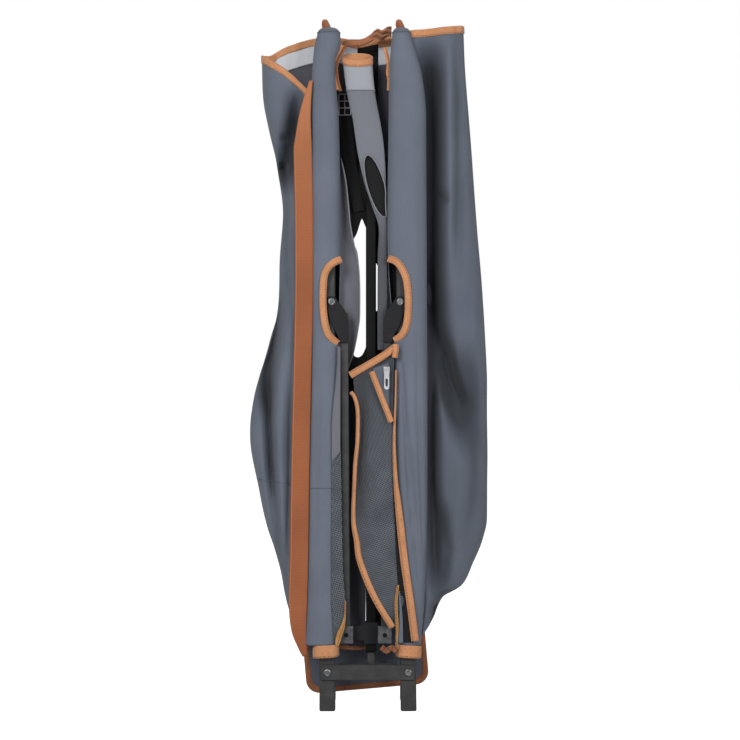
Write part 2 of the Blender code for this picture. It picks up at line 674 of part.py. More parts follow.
def sleeve(side, word, group):
    """The cloth sleeve on an upright: open at the hem, closed and rounded at the top."""
    heights = [SLEEVE_BOTTOM, 0.15, 0.30, 0.48, 0.60, 0.72, 0.84, 0.88, 0.91, 0.932, SLEEVE_TOP - 0.003]
    rings = [sleeve_ring(side, z) for z in heights]
    rings.append(sleeve_ring(side, SLEEVE_TOP, shrink=0.72))
    rings.append([(x, y, SLEEVE_TOP + 0.001) for x, y, _ in sleeve_ring(side, SLEEVE_TOP, shrink=0.3)])
    data, grid = loft(rings, closed=True)
    data.faces.new(grid[-1])
    bmesh.ops.recalc_face_normals(data, faces=data.faces)
    cloth = add_mesh(f"{word}_sleeve", data, SLATE_CLOTH, group)
    shell = cloth.modifiers.new("cloth", "SOLIDIFY")
    shell.thickness = CLOTH
    shell.offset = -1.0
    boolean(cloth, cutout_prism(f"{word}_window", side, BINDING_WIDTH, group))

    heights = (CUTOUT_LOW - 0.03, 0.54, 0.57, 0.60, CUTOUT_HIGH + 0.03)
    around = [sleeve_ring(side, z, grow=(BAND - CLOTH) / 2) for z in heights]
    data, _ = loft(around, closed=True)
    bmesh.ops.recalc_face_normals(data, faces=data.faces)
    band = add_mesh(f"{word}_window_binding", data, COPPER_TAPE, group)
    shell = band.modifiers.new("tape", "SOLIDIFY")
    shell.thickness = BAND
    shell.offset = -1.0
    boolean(band, cutout_prism(f"{word}_binding_outer", side, BINDING_WIDTH - GAP, group), "INTERSECT")
    boolean(band, cutout_prism(f"{word}_binding_inner", side, 0.0, group))

    hem_rings = [
        sleeve_ring(side, z, grow=0.0008) for z in (SLEEVE_BOTTOM - GAP - SLEEVE_HEM, SLEEVE_BOTTOM - GAP)
    ]
    data, _ = loft(hem_rings, closed=True)
    bmesh.ops.recalc_face_normals(data, faces=data.faces)
    hem = add_mesh(f"{word}_sleeve_hem", data, COPPER_TAPE, group)
    shell = hem.modifiers.new("tape", "SOLIDIFY")
    shell.thickness = 0.0032
    shell.offset = -1.0

    outer, inner = sleeve_limits(side, SLEEVE_TOP)
    x = side * (outer + inner) / 2
    tip = SLEEVE_TOP + 0.001 + GAP
    block(
        f"{word}_tip_loop", (x - 0.0045, -0.0025, tip), (x + 0.0045, 0.0025, tip + 0.0165), COPPER_TAPE,
        group, edge=0.002,
    )


# ---------------------------------------------------------------- body cloth
def flap_section(side, z):
    """A body panel's section at one height, from the sleeve seam round the outer fold to the back."""
    fold = smooth_value(LEFT_FOLD if side == LEFT else RIGHT_FOLD, z) + OUTWARD + SWELL
    outer, _ = sleeve_limits(side, z)
    seam = outer + CLOTH / 2 + SEAM_GAP
    low = min(1.0, max(0.0, (z - FLAP_BOTTOM[side]) / 0.14))
    back = FLAP_BACK - 0.010 * (1 - low)
    end = smooth_value(BACK_END, z)
    front_mid = (seam + fold) / 2
    turn = min(0.011, 0.3 * (fold - seam))
    middle_y = (FLAP_FRONT + back) / 2
    points = [
        (seam, -0.002), (front_mid, FLAP_FRONT), (fold - turn, FLAP_FRONT + 0.008), (fold, middle_y),
        (fold - turn, back - 0.006), (front_mid, back), ((front_mid + end) / 2, back + 0.001),
        (end, back - 0.002),
    ]
    return [Vector((side * x, y, z)) for x, y in points]


def hem_height(side, share):
    """The mouth's edge: it climbs from the left sleeve, round the back, to the right."""
    if side == LEFT:
        table = [
            (0.0, 0.858), (0.143, 0.893), (0.286, 0.910), (0.429, 0.919), (0.571, 0.9225), (0.714, 0.938),
            (0.857, 0.9500), (1.0, 0.943),
        ]
    else:
        table = [(0.0, 0.9490), (0.20, 0.9530), (0.43, 0.9570), (0.60, 0.9570), (0.80, 0.9500), (1.0, 0.9410)]
    return smooth_value(table, share)


def flap_rows(side, low, high, columns, rises):
    """Rows of points on a body panel between two edges, each given as a height for a share of its width."""
    grid = []
    for rise in rises:
        row = []
        for i in range(columns):
            share = i / (columns - 1)
            z = low(share) + (high(share) - low(share)) * rise
            row.append(smooth_line(flap_section(side, z), share))
        grid.append(row)
    return grid


def flap(side, word, group):
    def bottom(share):
        return FLAP_BOTTOM[side]

    def below_hem(share):
        return hem_height(side, share) - BINDING_WIDTH - GAP

    def hem_low(share):
        return hem_height(side, share) - BINDING_WIDTH

    def hem_high(share):
        return hem_height(side, share)

    sheet(
        f"{word}_body_panel", flap_rows(side, bottom, below_hem, 16, PANEL_RISES), CLOTH, SLATE_CLOTH, group,
    )
    sheet(f"{word}_mouth_binding", flap_rows(side, hem_low, hem_high, 16, (0, 1)), BAND, COPPER_TAPE, group)


def shoulder_strap(group):
    """Webbing that runs down the left panel beside the sleeve, from the mouth to the hem."""
    line = []
    for z, x in STRAP_LINE:
        over_sleeve = min(1.0, max(0.0, (z - 0.76) / 0.05))
        line.append((x - OUTWARD - SWELL, FLAP_FRONT - SWELL - 0.0066 - 0.0048 * over_sleeve, z))
    ribbon("shoulder_strap", line, STRAP_WIDTH, STRAP_THICKNESS, STRAP_WEBBING, group)


def back_panel(group):
    """The dark panel behind the mouth, its binding, and the webbing that ties it to the post."""
    back = FLAP_BACK + 0.0065
    hem = [(-0.034, 0.933), (-0.010, 0.941), (0.014, 0.948), (0.034, 0.953)]
    panel = [
        [Vector((x, back, 0.746 + (top - BINDING_WIDTH - GAP - 0.746) * j / 3)) for x, top in hem]
        for j in range(4)
    ]
    sheet("back_panel", panel, CLOTH, BLACK_CLOTH, group)
    binding = [
        [Vector((x, back, top - BINDING_WIDTH)) for x, top in hem],
        [Vector((x, back, top)) for x, top in hem],
    ]
    sheet("back_panel_binding", binding, BAND, COPPER_TAPE, group)
    webbing = [
        (-0.0295, 0.036, 0.862), (-0.0280, 0.036, 0.83), (-0.0225, 0.034, 0.77), (-0.0125, 0.0260, 0.70),
        (-0.0010, 0.0205, 0.655),
    ]
    ribbon("back_webbing", webbing, 0.0165, STRAP_THICKNESS, BLACK_CLOTH, group, across=Vector((1, 0, 0)))


def base_board(group):
    """A stiffened board with a bound edge, behind the feet, on a spacer from the post."""
    def rounded(name, grow, low_y, high_y, cutter=False, material=None):
        thing = block(
            name, (BOARD_X - BOARD_HALF_WIDTH - grow, low_y, BOARD_LOW - grow),
            (BOARD_X + BOARD_HALF_WIDTH + grow, high_y, BOARD_HIGH + grow),
            material, group, cutter=cutter,
        )
        data = bmesh.new()
        data.from_mesh(thing.data)
        corners = [
            e for e in data.edges
            if abs(e.verts[0].co.x - e.verts[1].co.x) < 1e-6 and abs(e.verts[0].co.z - e.verts[1].co.z) < 1e-6
        ]
        bmesh.ops.bevel(
            data, geom=corners, offset=BOARD_CORNER + grow, segments=6, profile=0.5, affect="EDGES",
            material=-1,
        )
        data.to_mesh(thing.data)
        data.free()
        return thing

    high = BOARD_BACK + BOARD_THICKNESS
    rounded("base_board", -BOARD_BINDING - GAP, BOARD_BACK, high, material=SLATE_CLOTH)
    frame = rounded("base_board_binding", 0.0, BOARD_BACK - 0.001, high + 0.001, material=COPPER_TAPE)
    boolean(frame, rounded("board_window", -BOARD_BINDING, BOARD_BACK - 0.01, high + 0.01, cutter=True))
    block(
        "base_board_spacer", (POST_X - 0.006, POST_BACK + POST_DEPTH + GAP, POST_BOTTOM + 0.001),
        (POST_X + 0.006, BOARD_BACK - GAP, POST_BOTTOM + 0.009), BLACK_PLASTIC, None, edge=0.0008,
    )


# ---------------------------------------------------------------- inner cloth and pockets
def left_inner(group):
    """The grey lining and the mesh that hang from the left sleeve's inner edge, behind the stay."""
    lining = []
    left = 0.0360 + OUTWARD - SWELL
    for z, right in (
        (0.775, 0.0330), (0.72, 0.0255), (0.66, 0.0170), (0.60, 0.0125), (0.54, 0.0120), (0.495, 0.0180),
        (0.455, 0.0260),
    ):
        lining.append(
            [Vector((-left, 0.004, z)), Vector((-(left + right) / 2, 0.012, z)), Vector((-right, 0.020, z))],
        )
    sheet("left_lining", lining, CLOTH, GREY_LINING, group)
    mesh_rows = [
        [
            Vector((-0.0470 - OUTWARD, -0.0204 - SWELL, z)), Vector((-0.0405 - OUTWARD, -0.0188 - SWELL, z)),
            Vector((-edge - OUTWARD, -0.0165 - SWELL, z)),
        ]
        for z,
        edge in (
            (0.150, 0.0330), (0.20, 0.0325), (0.28, 0.0330), (0.365, 0.0345), (0.44, 0.0345), (0.502, 0.0360),
        )
    ]
    sheet("left_mesh_panel", mesh_rows, 0.0012, POCKET_MESH, group)
    rows = []
    for x, z, half in (
        (-0.0305, 0.148, 0.0008), (-0.0315, 0.135, 0.0018), (-0.0345, 0.121, 0.0030),
        (-0.0385, 0.110, 0.0040),
        (-0.0425, 0.099, 0.0026),
    ):
        x, y = x - OUTWARD, -0.0172 - SWELL
        rows.append([Vector((x - half, y, z + half * 0.4)), Vector((x + half, y, z - half * 0.4))])
    sheet("left_mesh_binding", rows, 0.0018, COPPER_TAPE, group)


DIVIDER_EDGES = [
    (0.504, 0.0135, 0.0275), (0.58, 0.0135, 0.0280), (0.655, 0.0145, 0.0280), (0.695, 0.0100, 0.0255),
    (0.728, -0.0030, 0.0235), (0.770, -0.0120, 0.0205), (0.812, -0.0200, 0.0175), (0.865, -0.0300, 0.0108),
    (0.9035, -0.0345, 0.0075),
]


def divider(group):
    """The rolled grey divider that falls from the mouth to the right sleeve's inner edge."""
    rows = []
    for z, left, right in DIVIDER_EDGES:
        left = left + OUTWARD
        right = right + OUTWARD - SWELL
        near = 0.0035 - 0.0030 * min(1.0, max(0.0, (z - 0.70) / 0.1))
        rows.append([
            Vector((left, near + 0.0030, z)), Vector(((2 * left + right) / 3, near, z)),
            Vector(((left + 2 * right) / 3, near, z)), Vector((right, near + 0.0030, z)),
        ])
    sheet("divider_sleeve", rows, CLOTH, GREY_LINING, group)
    top = rows[-1]
    rim = [[p + Vector((0, 0, GAP)) for p in top], [p + Vector((0, 0, BINDING_WIDTH)) for p in top]]
    sheet("divider_binding", rim, BAND, COPPER_TAPE, group)


POCKET_TOP = [(-0.0220, 0.4730), (0.0000, 0.4845), (0.0200, 0.4945), (0.0396, 0.5035)]
POCKET_SIDE = [
    (0.119, 0.0340), (0.154, 0.0102), (0.210, -0.0108), (0.252, -0.0205), (0.308, -0.0200), (0.364, -0.0178),
    (0.417, -0.0155), (0.445, -0.0215), (0.473, -0.0225),
]
POCKET_SEAM = [
    (0.112, 0.0640), (0.160, 0.0590), (0.210, 0.0510), (0.266, 0.0424), (0.392, 0.0358), (0.504, 0.0385),
]
POCKET_FACE = -0.0017 - SLEEVE_HALF_DEPTH  # just in front of the right sleeve
POCKET_CLOTH = 0.0012
POCKET_TAPE = 0.0017


def pocket_depth(x):
    """The pocket lies in front of the right sleeve and drops back towards its free edge."""
    return POCKET_FACE + 0.008 * max(0.0, (0.004 - x) / 0.026) ** 1.5


def pocket_rows(low, high, columns, count):
    """Rows from the free edge to the seam; low and high are shares of the pocket's height."""
    rows = []
    for j in range(count):
        share = low + (high - low) * j / (count - 1)
        z_left = POCKET_SIDE[0][0] + (POCKET_TOP[0][1] - POCKET_SIDE[0][0]) * share
        z_right = POCKET_SEAM[0][0] + (POCKET_TOP[-1][1] - POCKET_SEAM[0][0]) * share
        left = smooth_value(POCKET_SIDE, z_left)
        right = smooth_value(POCKET_SEAM, z_right)
        row = []
        for i in range(columns):
            across = i / (columns - 1)
            x = left + (right - left) * across
            z = z_left + (z_right - z_left) * across
            row.append(Vector((x, pocket_depth(x), z)))
        rows.append(row)
    return rows


def pockets(group):
    top_share = 1 - BINDING_WIDTH / (POCKET_TOP[0][1] - POCKET_SIDE[0][0])
    sheet("mesh_pocket", pocket_rows(0, top_share - 0.001, 9, 13), POCKET_CLOTH, POCKET_MESH, group)
    sheet("pocket_top_binding", pocket_rows(top_share, 1, 9, 2), 0.0022, COPPER_TAPE, group)
    front = -(POCKET_CLOTH + POCKET_TAPE) / 2 - GAP
    for name, table, high, inset in (
        ("pocket_side_binding", POCKET_SIDE, 0.458, 0.0035),
        ("pocket_seam_binding", POCKET_SEAM, 0.485, -0.0035),
    ):
        line = []
        for i in range(14):
            z = table[0][0] + 0.004 + (high - table[0][0] - 0.004) * i / 13
            x = smooth_value(table, z) + inset
            line.append((x, min(pocket_depth(x - 0.004), pocket_depth(x + 0.004)) + front, z))
        ribbon(name, line, 0.0080, POCKET_TAPE, COPPER_TAPE, group, across=Vector((1, 0, 0)))


ZIP_X = 0.0290  # the zip runs straight down the panel's edge
ZIP_FACE = POCKET_FACE - 0.0070  # depth of the zip panel's middle
ZIP_CLOTH = 0.0014
ZIP_LOW = 0.4150
ZIP_HIGH = 0.4860
SLIDER_Z = 0.4760  # middle of the slider, at the top of its travel
SLIDER_LENGTH = 0.0090
SLIDER_SHEET = 0.0010
SLIDER_REACH = 0.0070
BRIDGE_RADIUS = 0.0019
PULL_BAR = 0.0012
PULL_LENGTH = 0.0270
PULL_WIDTH = 0.0070


def slider_axis_depth():
    """Depth of the hole in the slider's bridge, in which the puller's bar turns."""
    return ZIP_FACE - ZIP_CLOTH / 2 - RUN - SLIDER_SHEET - BRIDGE_RADIUS


def zip_panel(group):
    """A small cloth panel in front of the pocket, with a slanted bound edge and the zip on its right."""
    low_corner, left_corner = (ZIP_X, ZIP_LOW), (0.0050, 0.4740)
    rows = []
    for j in range(5):
        t = j / 4
        x_left = low_corner[0] - 0.003 + (left_corner[0] - low_corner[0] + 0.003) * t
        z_left = low_corner[1] + (left_corner[1] - low_corner[1]) * t
        z_right = ZIP_LOW + (ZIP_HIGH - ZIP_LOW) * t
        rows.append([Vector((x_left, ZIP_FACE, z_left)), Vector((ZIP_X, ZIP_FACE, z_right))])
    sheet("zip_panel", rows, ZIP_CLOTH, SLATE_CLOTH, group)
    face = ZIP_FACE + ZIP_CLOTH / 2 + RUN + SLIDER_SHEET + GAP + 0.0009
    line = [(0.0318 - 0.0290 * t, face, 0.4060 + 0.0660 * t) for t in (0, 0.25, 0.5, 0.75, 1.0)]
    ribbon("zip_panel_binding", line, 0.0085, 0.0018, COPPER_TAPE, group)


def zip_slider(group):
    """A slider that grips both faces of the zip panel's edge, with a bridge for the puller."""
    low, high = SLIDER_Z - SLIDER_LENGTH / 2, SLIDER_Z + SLIDER_LENGTH / 2
    slot = ZIP_CLOTH / 2 + RUN
    left, right = ZIP_X - SLIDER_REACH, ZIP_X + GAP + SLIDER_SHEET
    body = block(
        "zip_slider", (left, ZIP_FACE - slot - SLIDER_SHEET, low),
        (right, ZIP_FACE + slot + SLIDER_SHEET, high),
        BARE_STEEL, group,
    )
    middle = (left + right) / 2
    axis = slider_axis_depth()
    eye = rod(
        "bridge_eye", "x", BRIDGE_RADIUS, (middle - 0.0014, axis, SLIDER_Z),
        (middle + 0.0014, axis, SLIDER_Z),
        group=group, cutter=True,
    )
    web = block(
        "bridge_web", (middle - 0.0014, axis, SLIDER_Z - BRIDGE_RADIUS),
        (middle + 0.0014, ZIP_FACE - slot - 0.0002, SLIDER_Z + BRIDGE_RADIUS),
        group=group, cutter=True,
    )
    boolean(body, web, "UNION")
    boolean(body, eye, "UNION")
    boolean(body, block(
        "slider_slot", (left - 0.01, ZIP_FACE - slot, low - 0.01),
        (ZIP_X + GAP, ZIP_FACE + slot, high + 0.01),
        group=group, cutter=True,
    ))
    boolean(body, rod(
        "bridge_bore", "x", PULL_BAR * 0.7071 + 0.0003, (left, axis, SLIDER_Z),
        (right + 0.01, axis, SLIDER_Z),
        group=group, cutter=True,
    ))


def zip_puller(group):
    """A flat tab whose top bar turns in the slider's bridge."""
    axis, bar = slider_axis_depth(), PULL_BAR / 2
    middle = ZIP_X + (GAP + SLIDER_SHEET - SLIDER_REACH) / 2
    half = PULL_WIDTH / 2
    tab = block(
        "zip_puller", (middle - half, axis - bar, SLIDER_Z - PULL_LENGTH),
        (middle + half, axis + bar, SLIDER_Z + bar), BARE_STEEL, group,
    )
    boolean(tab, block(
        "puller_window", (middle - half + 0.0013, axis - 0.01, SLIDER_Z - 0.0060),
        (middle + half - 0.0013, axis + 0.01, SLIDER_Z - bar),
        group=group, cutter=True,
    ))
    boolean(tab, rod(
        "puller_hole", "y", 0.0014, (middle, axis - 0.01, SLIDER_Z - PULL_LENGTH + 0.004),
        (middle, axis + 0.01, SLIDER_Z - PULL_LENGTH + 0.004),
        group=group, cutter=True,
    ))


# ---------------------------------------------------------------- assembly
def assemble():
    base = pivot("base_frame", 0, 0, 0)
    wings = {side: pivot(f"{word}_wing", side * UPRIGHT_X, 0, CROSSBAR_Z) for side, word in SIDES}
    frames = {side: pivot(f"{word}_wing_frame", side * UPRIGHT_X, 0, CROSSBAR_Z) for side, word in SIDES}
    runner_group = pivot("runner_group", POST_X, POST_BACK, CLIP_Z)
    stand_group = pivot("stand_group", 0, STAND_Y, STAND_PIVOT_Z)
    slider_group = pivot("slider_group", ZIP_X, ZIP_FACE, SLIDER_Z)
    puller_group = pivot("puller_group", ZIP_X, slider_axis_depth(), SLIDER_Z)

    crossbar(base)
    post(base)
    stand_hinge(base)
    board = pivot("board_group", BOARD_X, BOARD_BACK, (BOARD_LOW + BOARD_HIGH) / 2)
    board.rotation_euler.y = -BOARD_TILT
    base_board(board)
    back_panel(base)
    for side, word in SIDES:
        frames[side].rotation_euler.y = -side * LEAN[side]
        upright(side, word, frames[side])
        sleeve(side, word, wings[side])
        flap(side, word, wings[side])
        point = stay_pivot(side)
        stay(side, word, pivot(f"{word}_stay_group", point.x, 0, point.z))
    shoulder_strap(wings[LEFT])
    left_inner(wings[LEFT])
    divider(wings[RIGHT])
    pockets(wings[RIGHT])
    zip_panel(wings[RIGHT])
    zip_slider(slider_group)
    zip_puller(puller_group)
    runner(runner_group)
    rear_stand(stand_group)


assemble()
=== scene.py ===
"""A collapsible golf bag on its folding stand frame, folded for storage.

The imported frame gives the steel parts, which keep their shapes and take finer finishes.
The bag itself is made here: two sleeves over the uprights, two side panels that hang from them,
the bound mouth, the shoulder strap, the lining, the divider, the mesh pocket and the base board.
Metres, +Z up, -Y is the front. A depth is a distance behind the plane of the uprights.
"""
import math

import bmesh
import bpy
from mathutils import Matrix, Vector, noise


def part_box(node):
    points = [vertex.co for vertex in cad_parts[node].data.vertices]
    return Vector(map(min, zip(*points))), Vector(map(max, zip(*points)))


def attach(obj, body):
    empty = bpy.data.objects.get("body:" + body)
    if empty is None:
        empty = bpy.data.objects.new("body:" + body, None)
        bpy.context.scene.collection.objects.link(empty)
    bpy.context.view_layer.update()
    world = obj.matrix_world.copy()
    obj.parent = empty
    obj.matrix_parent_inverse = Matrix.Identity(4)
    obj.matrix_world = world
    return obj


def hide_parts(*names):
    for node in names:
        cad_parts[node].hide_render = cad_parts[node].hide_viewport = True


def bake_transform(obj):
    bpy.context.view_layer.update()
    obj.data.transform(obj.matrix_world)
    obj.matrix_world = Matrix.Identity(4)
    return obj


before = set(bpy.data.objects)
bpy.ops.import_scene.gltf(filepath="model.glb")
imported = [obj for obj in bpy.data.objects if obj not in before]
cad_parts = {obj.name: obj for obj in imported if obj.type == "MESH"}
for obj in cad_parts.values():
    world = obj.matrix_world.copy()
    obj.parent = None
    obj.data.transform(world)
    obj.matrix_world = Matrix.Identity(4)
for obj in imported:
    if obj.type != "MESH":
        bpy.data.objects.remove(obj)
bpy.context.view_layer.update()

LEFT, RIGHT = -1, 1
SIDES = ((LEFT, "left"), (RIGHT, "right"))


def middle_of(node):
    low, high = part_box(node)
    return (low + high) / 2


UPRIGHT_PLANE = middle_of("left_upright").y
SLEEVE_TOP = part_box("left_sleeve")[1].z
CAP_RISE = 0.0085  # the sleeve's rounded cap above the CAD sleeve
CLOTH = 0.0012
TAPE = 0.0009
TAPE_WIDTH = 0.0098
NET_CLOTH = 0.0007
PIPING = 0.0008  # radius of the thin piping
STITCH_CORD = 0.0008
SEAM_THREAD = 0.00055

# ---------------------------------------------------------------- outlines
# Each table lists (height, distance from the centre plane), and a smooth curve runs through it.
SLEEVE_OUTER = {
    LEFT: [
        (0.070, 0.0880), (0.100, 0.0885), (0.15, 0.0865), (0.21, 0.0845), (0.35, 0.0825), (0.50, 0.0795),
        (0.84, 0.0795), (0.88, 0.0785), (0.926, 0.0750), (0.9455, 0.0705),
    ],
    RIGHT: [
        (0.070, 0.0725), (0.15, 0.0790), (0.30, 0.0830), (0.833, 0.0815), (0.857, 0.0800), (0.890, 0.0755),
        (0.923, 0.0665), (0.9455, 0.0600),
    ],
}
SLEEVE_INNER = {
    LEFT: [
        (0.070, 0.0415), (0.15, 0.0405), (0.50, 0.0395), (0.66, 0.0380), (0.826, 0.0405), (0.885, 0.0450),
        (0.910, 0.0440), (0.928, 0.0380), (0.9455, 0.0385),
    ],
    RIGHT: [
        (0.070, 0.0400), (0.15, 0.0385), (0.48, 0.0362), (0.53, 0.0350), (0.63, 0.0280), (0.82, 0.0290),
        (0.90, 0.0305), (0.9455, 0.0340),
    ],
}
SLEEVE_HALF_DEPTH = 0.0192
SLEEVE_LOW = 0.0930
HEM_LOW = 0.0758
HEM_HEIGHT = 0.0176
SLEEVE_SQUARE = 0.66

FOLD = {
    LEFT: [
        (0.088, 0.0930), (0.12, 0.1060), (0.16, 0.1165), (0.20, 0.1245), (0.26, 0.1450), (0.32, 0.1562),
        (0.37, 0.1652), (0.41, 0.1652), (0.45, 0.1570), (0.51, 0.1390), (0.56, 0.1275), (0.63, 0.1240),
        (0.70, 0.1190), (0.77, 0.1290), (0.84, 0.1450), (0.90, 0.1490), (0.96, 0.1490),
    ],
    RIGHT: [
        (0.106, 0.0790), (0.1265, 0.0925), (0.148, 0.1010), (0.158, 0.1085), (0.172, 0.1310),
        (0.205, 0.1480), (0.250, 0.1660), (0.275, 0.1685), (0.46, 0.1685), (0.55, 0.1640), (0.65, 0.1565),
        (0.75, 0.1485), (0.85, 0.1410), (0.96, 0.1345),
    ],
}
PANEL_BOTTOM = {LEFT: 0.0890, RIGHT: 0.1065}
PANEL_FRONT = -0.0090
PANEL_BACK = 0.0470
BACK_END = [(0.08, 0.0035), (0.44, 0.0035), (0.50, 0.0200), (0.68, 0.0200), (0.74, 0.0150), (0.96, 0.0150)]
MOUTH = {
    LEFT: [
        (0.0, 0.858), (0.143, 0.893), (0.286, 0.910), (0.429, 0.919), (0.571, 0.9225), (0.714, 0.938),
        (0.857, 0.9500), (1.0, 0.943),
    ],
    RIGHT: [(0.0, 0.9500), (0.20, 0.9545), (0.43, 0.9600), (0.60, 0.9600), (0.80, 0.9520), (1.0, 0.9450)],
}
# Creases pressed into a panel's front: the line as (x, height), its half width and its depth.
CREASES = {
    LEFT: [
        (
            [(-0.086, 0.905), (-0.099, 0.830), (-0.107, 0.790), (-0.114, 0.750), (-0.117, 0.715)],
            0.0160, 0.030,
        ),
        ([(-0.112, 0.800), (-0.124, 0.803)], 0.0045, 0.005),
        ([(-0.112, 0.758), (-0.126, 0.764)], 0.0050, 0.008),
        ([(-0.115, 0.740), (-0.114, 0.640), (-0.109, 0.540)], 0.0070, 0.006),
        ([(-0.130, 0.600), (-0.136, 0.520), (-0.142, 0.465), (-0.148, 0.400)], 0.0110, 0.025),
        ([(-0.138, 0.470), (-0.139, 0.400), (-0.136, 0.350), (-0.132, 0.290)], 0.0068, 0.020),
        ([(-0.133, 0.330), (-0.130, 0.270), (-0.122, 0.190)], 0.0075, 0.008),
        ([(-0.149, 0.330), (-0.141, 0.262), (-0.131, 0.205)], 0.0080, -0.004),
        ([(-0.1225, 0.470), (-0.1215, 0.360), (-0.1190, 0.250)], 0.0090, -0.005),
        ([(-0.1080, 0.500), (-0.1100, 0.300), (-0.1130, 0.160)], 0.0055, 0.006),
    ],
    RIGHT: [
        (
            [
                (0.0820, 1.050), (0.0900, 0.860), (0.0910, 0.780), (0.0900, 0.640), (0.0860, 0.560),
                (0.0860, 0.500),
            ],
            0.0150, 0.037,
        ),
        ([(0.1110, 0.930), (0.1120, 0.760), (0.1100, 0.600)], 0.0090, -0.005),
        ([(0.1260, 0.950), (0.1275, 0.780), (0.1290, 0.600)], 0.0085, 0.007),
        ([(0.1010, 0.728), (0.1085, 0.716), (0.1080, 0.705)], 0.0042, 0.007),
        (
            [(0.0840, 0.640), (0.0930, 0.545), (0.1080, 0.480), (0.1220, 0.420), (0.1280, 0.380)],
            0.0150, 0.031,
        ),
        ([(0.1330, 0.520), (0.1380, 0.440), (0.1340, 0.340)], 0.0160, 0.012),
        ([(0.1080, 0.520), (0.1170, 0.465), (0.1320, 0.430), (0.1460, 0.424)], 0.0075, 0.012),
        ([(0.0900, 0.540), (0.0905, 0.330), (0.0945, 0.240), (0.0960, 0.120)], 0.0095, 0.024),
        ([(0.1030, 0.300), (0.1110, 0.225), (0.1050, 0.150)], 0.0085, 0.012),
        ([(0.1260, 0.400), (0.1260, 0.300), (0.1190, 0.220)], 0.0120, -0.005),
        ([(0.1480, 0.520), (0.1510, 0.380), (0.1490, 0.290), (0.1380, 0.215)], 0.0100, 0.007),
        ([(0.0940, 0.150), (0.0880, 0.118)], 0.0060, 0.010),
    ],
}
# The same for the sleeves. The right one is drawn down into fans in its lower half.
SLEEVE_CREASES = {
    LEFT: [
        ([(-0.0625, 0.930), (-0.0630, 0.700)], 0.0050, -0.0010),
        ([(-0.0700, 0.480), (-0.0730, 0.200)], 0.0050, 0.0018),
    ],
    RIGHT: [
        (
            [(0.0440, 0.525), (0.0500, 0.440), (0.0560, 0.330), (0.0650, 0.210), (0.0715, 0.120)],
            0.0032, 0.0045,
        ),
        ([(0.0560, 0.400), (0.0640, 0.300), (0.0740, 0.180)], 0.0030, 0.0030),
        ([(0.0680, 0.560), (0.0700, 0.420), (0.0760, 0.260), (0.0800, 0.160)], 0.0034, 0.0032),
        ([(0.0620, 0.900), (0.0650, 0.700), (0.0690, 0.560)], 0.0050, -0.0010),
    ],
}
STRAP = [
    (0.0770, -0.0905, -0.0850), (0.0860, -0.0955, -0.0850), (0.1120, -0.1060, -0.0860),
    (0.1540, -0.1100, -0.0845), (0.2100, -0.1085, -0.0830), (0.2940, -0.1075, -0.0820),
    (0.4340, -0.1045, -0.0795), (0.5740, -0.1015, -0.0765), (0.7000, -0.1015, -0.0765),
    (0.7840, -0.1030, -0.0780), (0.8000, -0.1005, -0.0785), (0.8260, -0.0960, -0.0795),
    (0.8500, -0.0900, -0.0790), (0.8780, -0.0805, -0.0770),
]
WINDOW = {
    LEFT: [
        (-0.0368, 0.6305), (-0.0476, 0.625), (-0.0560, 0.617), (-0.0604, 0.606), (-0.0620, 0.589),
        (-0.0623, 0.568), (-0.0604, 0.546), (-0.0567, 0.530), (-0.0520, 0.522), (-0.0420, 0.5125),
    ],
    RIGHT: [
        (0.0280, 0.6315), (0.0387, 0.627), (0.0467, 0.618), (0.0530, 0.6035), (0.0558, 0.585),
        (0.0563, 0.565), (0.0550, 0.546), (0.0520, 0.533), (0.0467, 0.524), (0.0368, 0.5165),
    ],
}
DIVIDER = [
    (0.504, 0.0135, 0.0270), (0.580, 0.0135, 0.0270), (0.640, 0.0140, 0.0270), (0.676, 0.0150, 0.0270),
    (0.708, 0.0050, 0.0255), (0.735, -0.0040, 0.0255), (0.764, -0.0110, 0.0245), (0.794, -0.0165, 0.0220),
    (0.826, -0.0210, 0.0170), (0.862, -0.0290, 0.0105), (0.905, -0.0345, 0.0065), (0.930, -0.0360, 0.0060),
]
LINING_EDGE = [
    (0.462, -0.0330), (0.482, -0.0265), (0.500, -0.0200), (0.543, -0.0120), (0.565, -0.0110),
    (0.608, -0.0120), (0.640, -0.0150), (0.658, -0.0215), (0.697, -0.0260), (0.735, -0.0300),
    (0.756, -0.0336), (0.775, -0.0385),
]
POCKET_EDGE = [
    (0.119, 0.0330), (0.163, 0.0070), (0.210, -0.0120), (0.238, -0.0165), (0.260, -0.0205),
    (0.281, -0.0212), (0.312, -0.0200), (0.346, -0.0185), (0.378, -0.0155), (0.417, -0.0150),
    (0.445, -0.0205), (0.473, -0.0225),
]
POCKET_SEAM = [
    (0.100, 0.0650), (0.154, 0.0580), (0.210, 0.0500), (0.260, 0.0445), (0.293, 0.0410), (0.325, 0.0378),
    (0.378, 0.0358), (0.500, 0.0375),
]
POCKET_FACE = -0.0208


# ---------------------------------------------------------------- curves
def at(x, depth, z):
    return Vector((x, UPRIGHT_PLANE + depth, z))


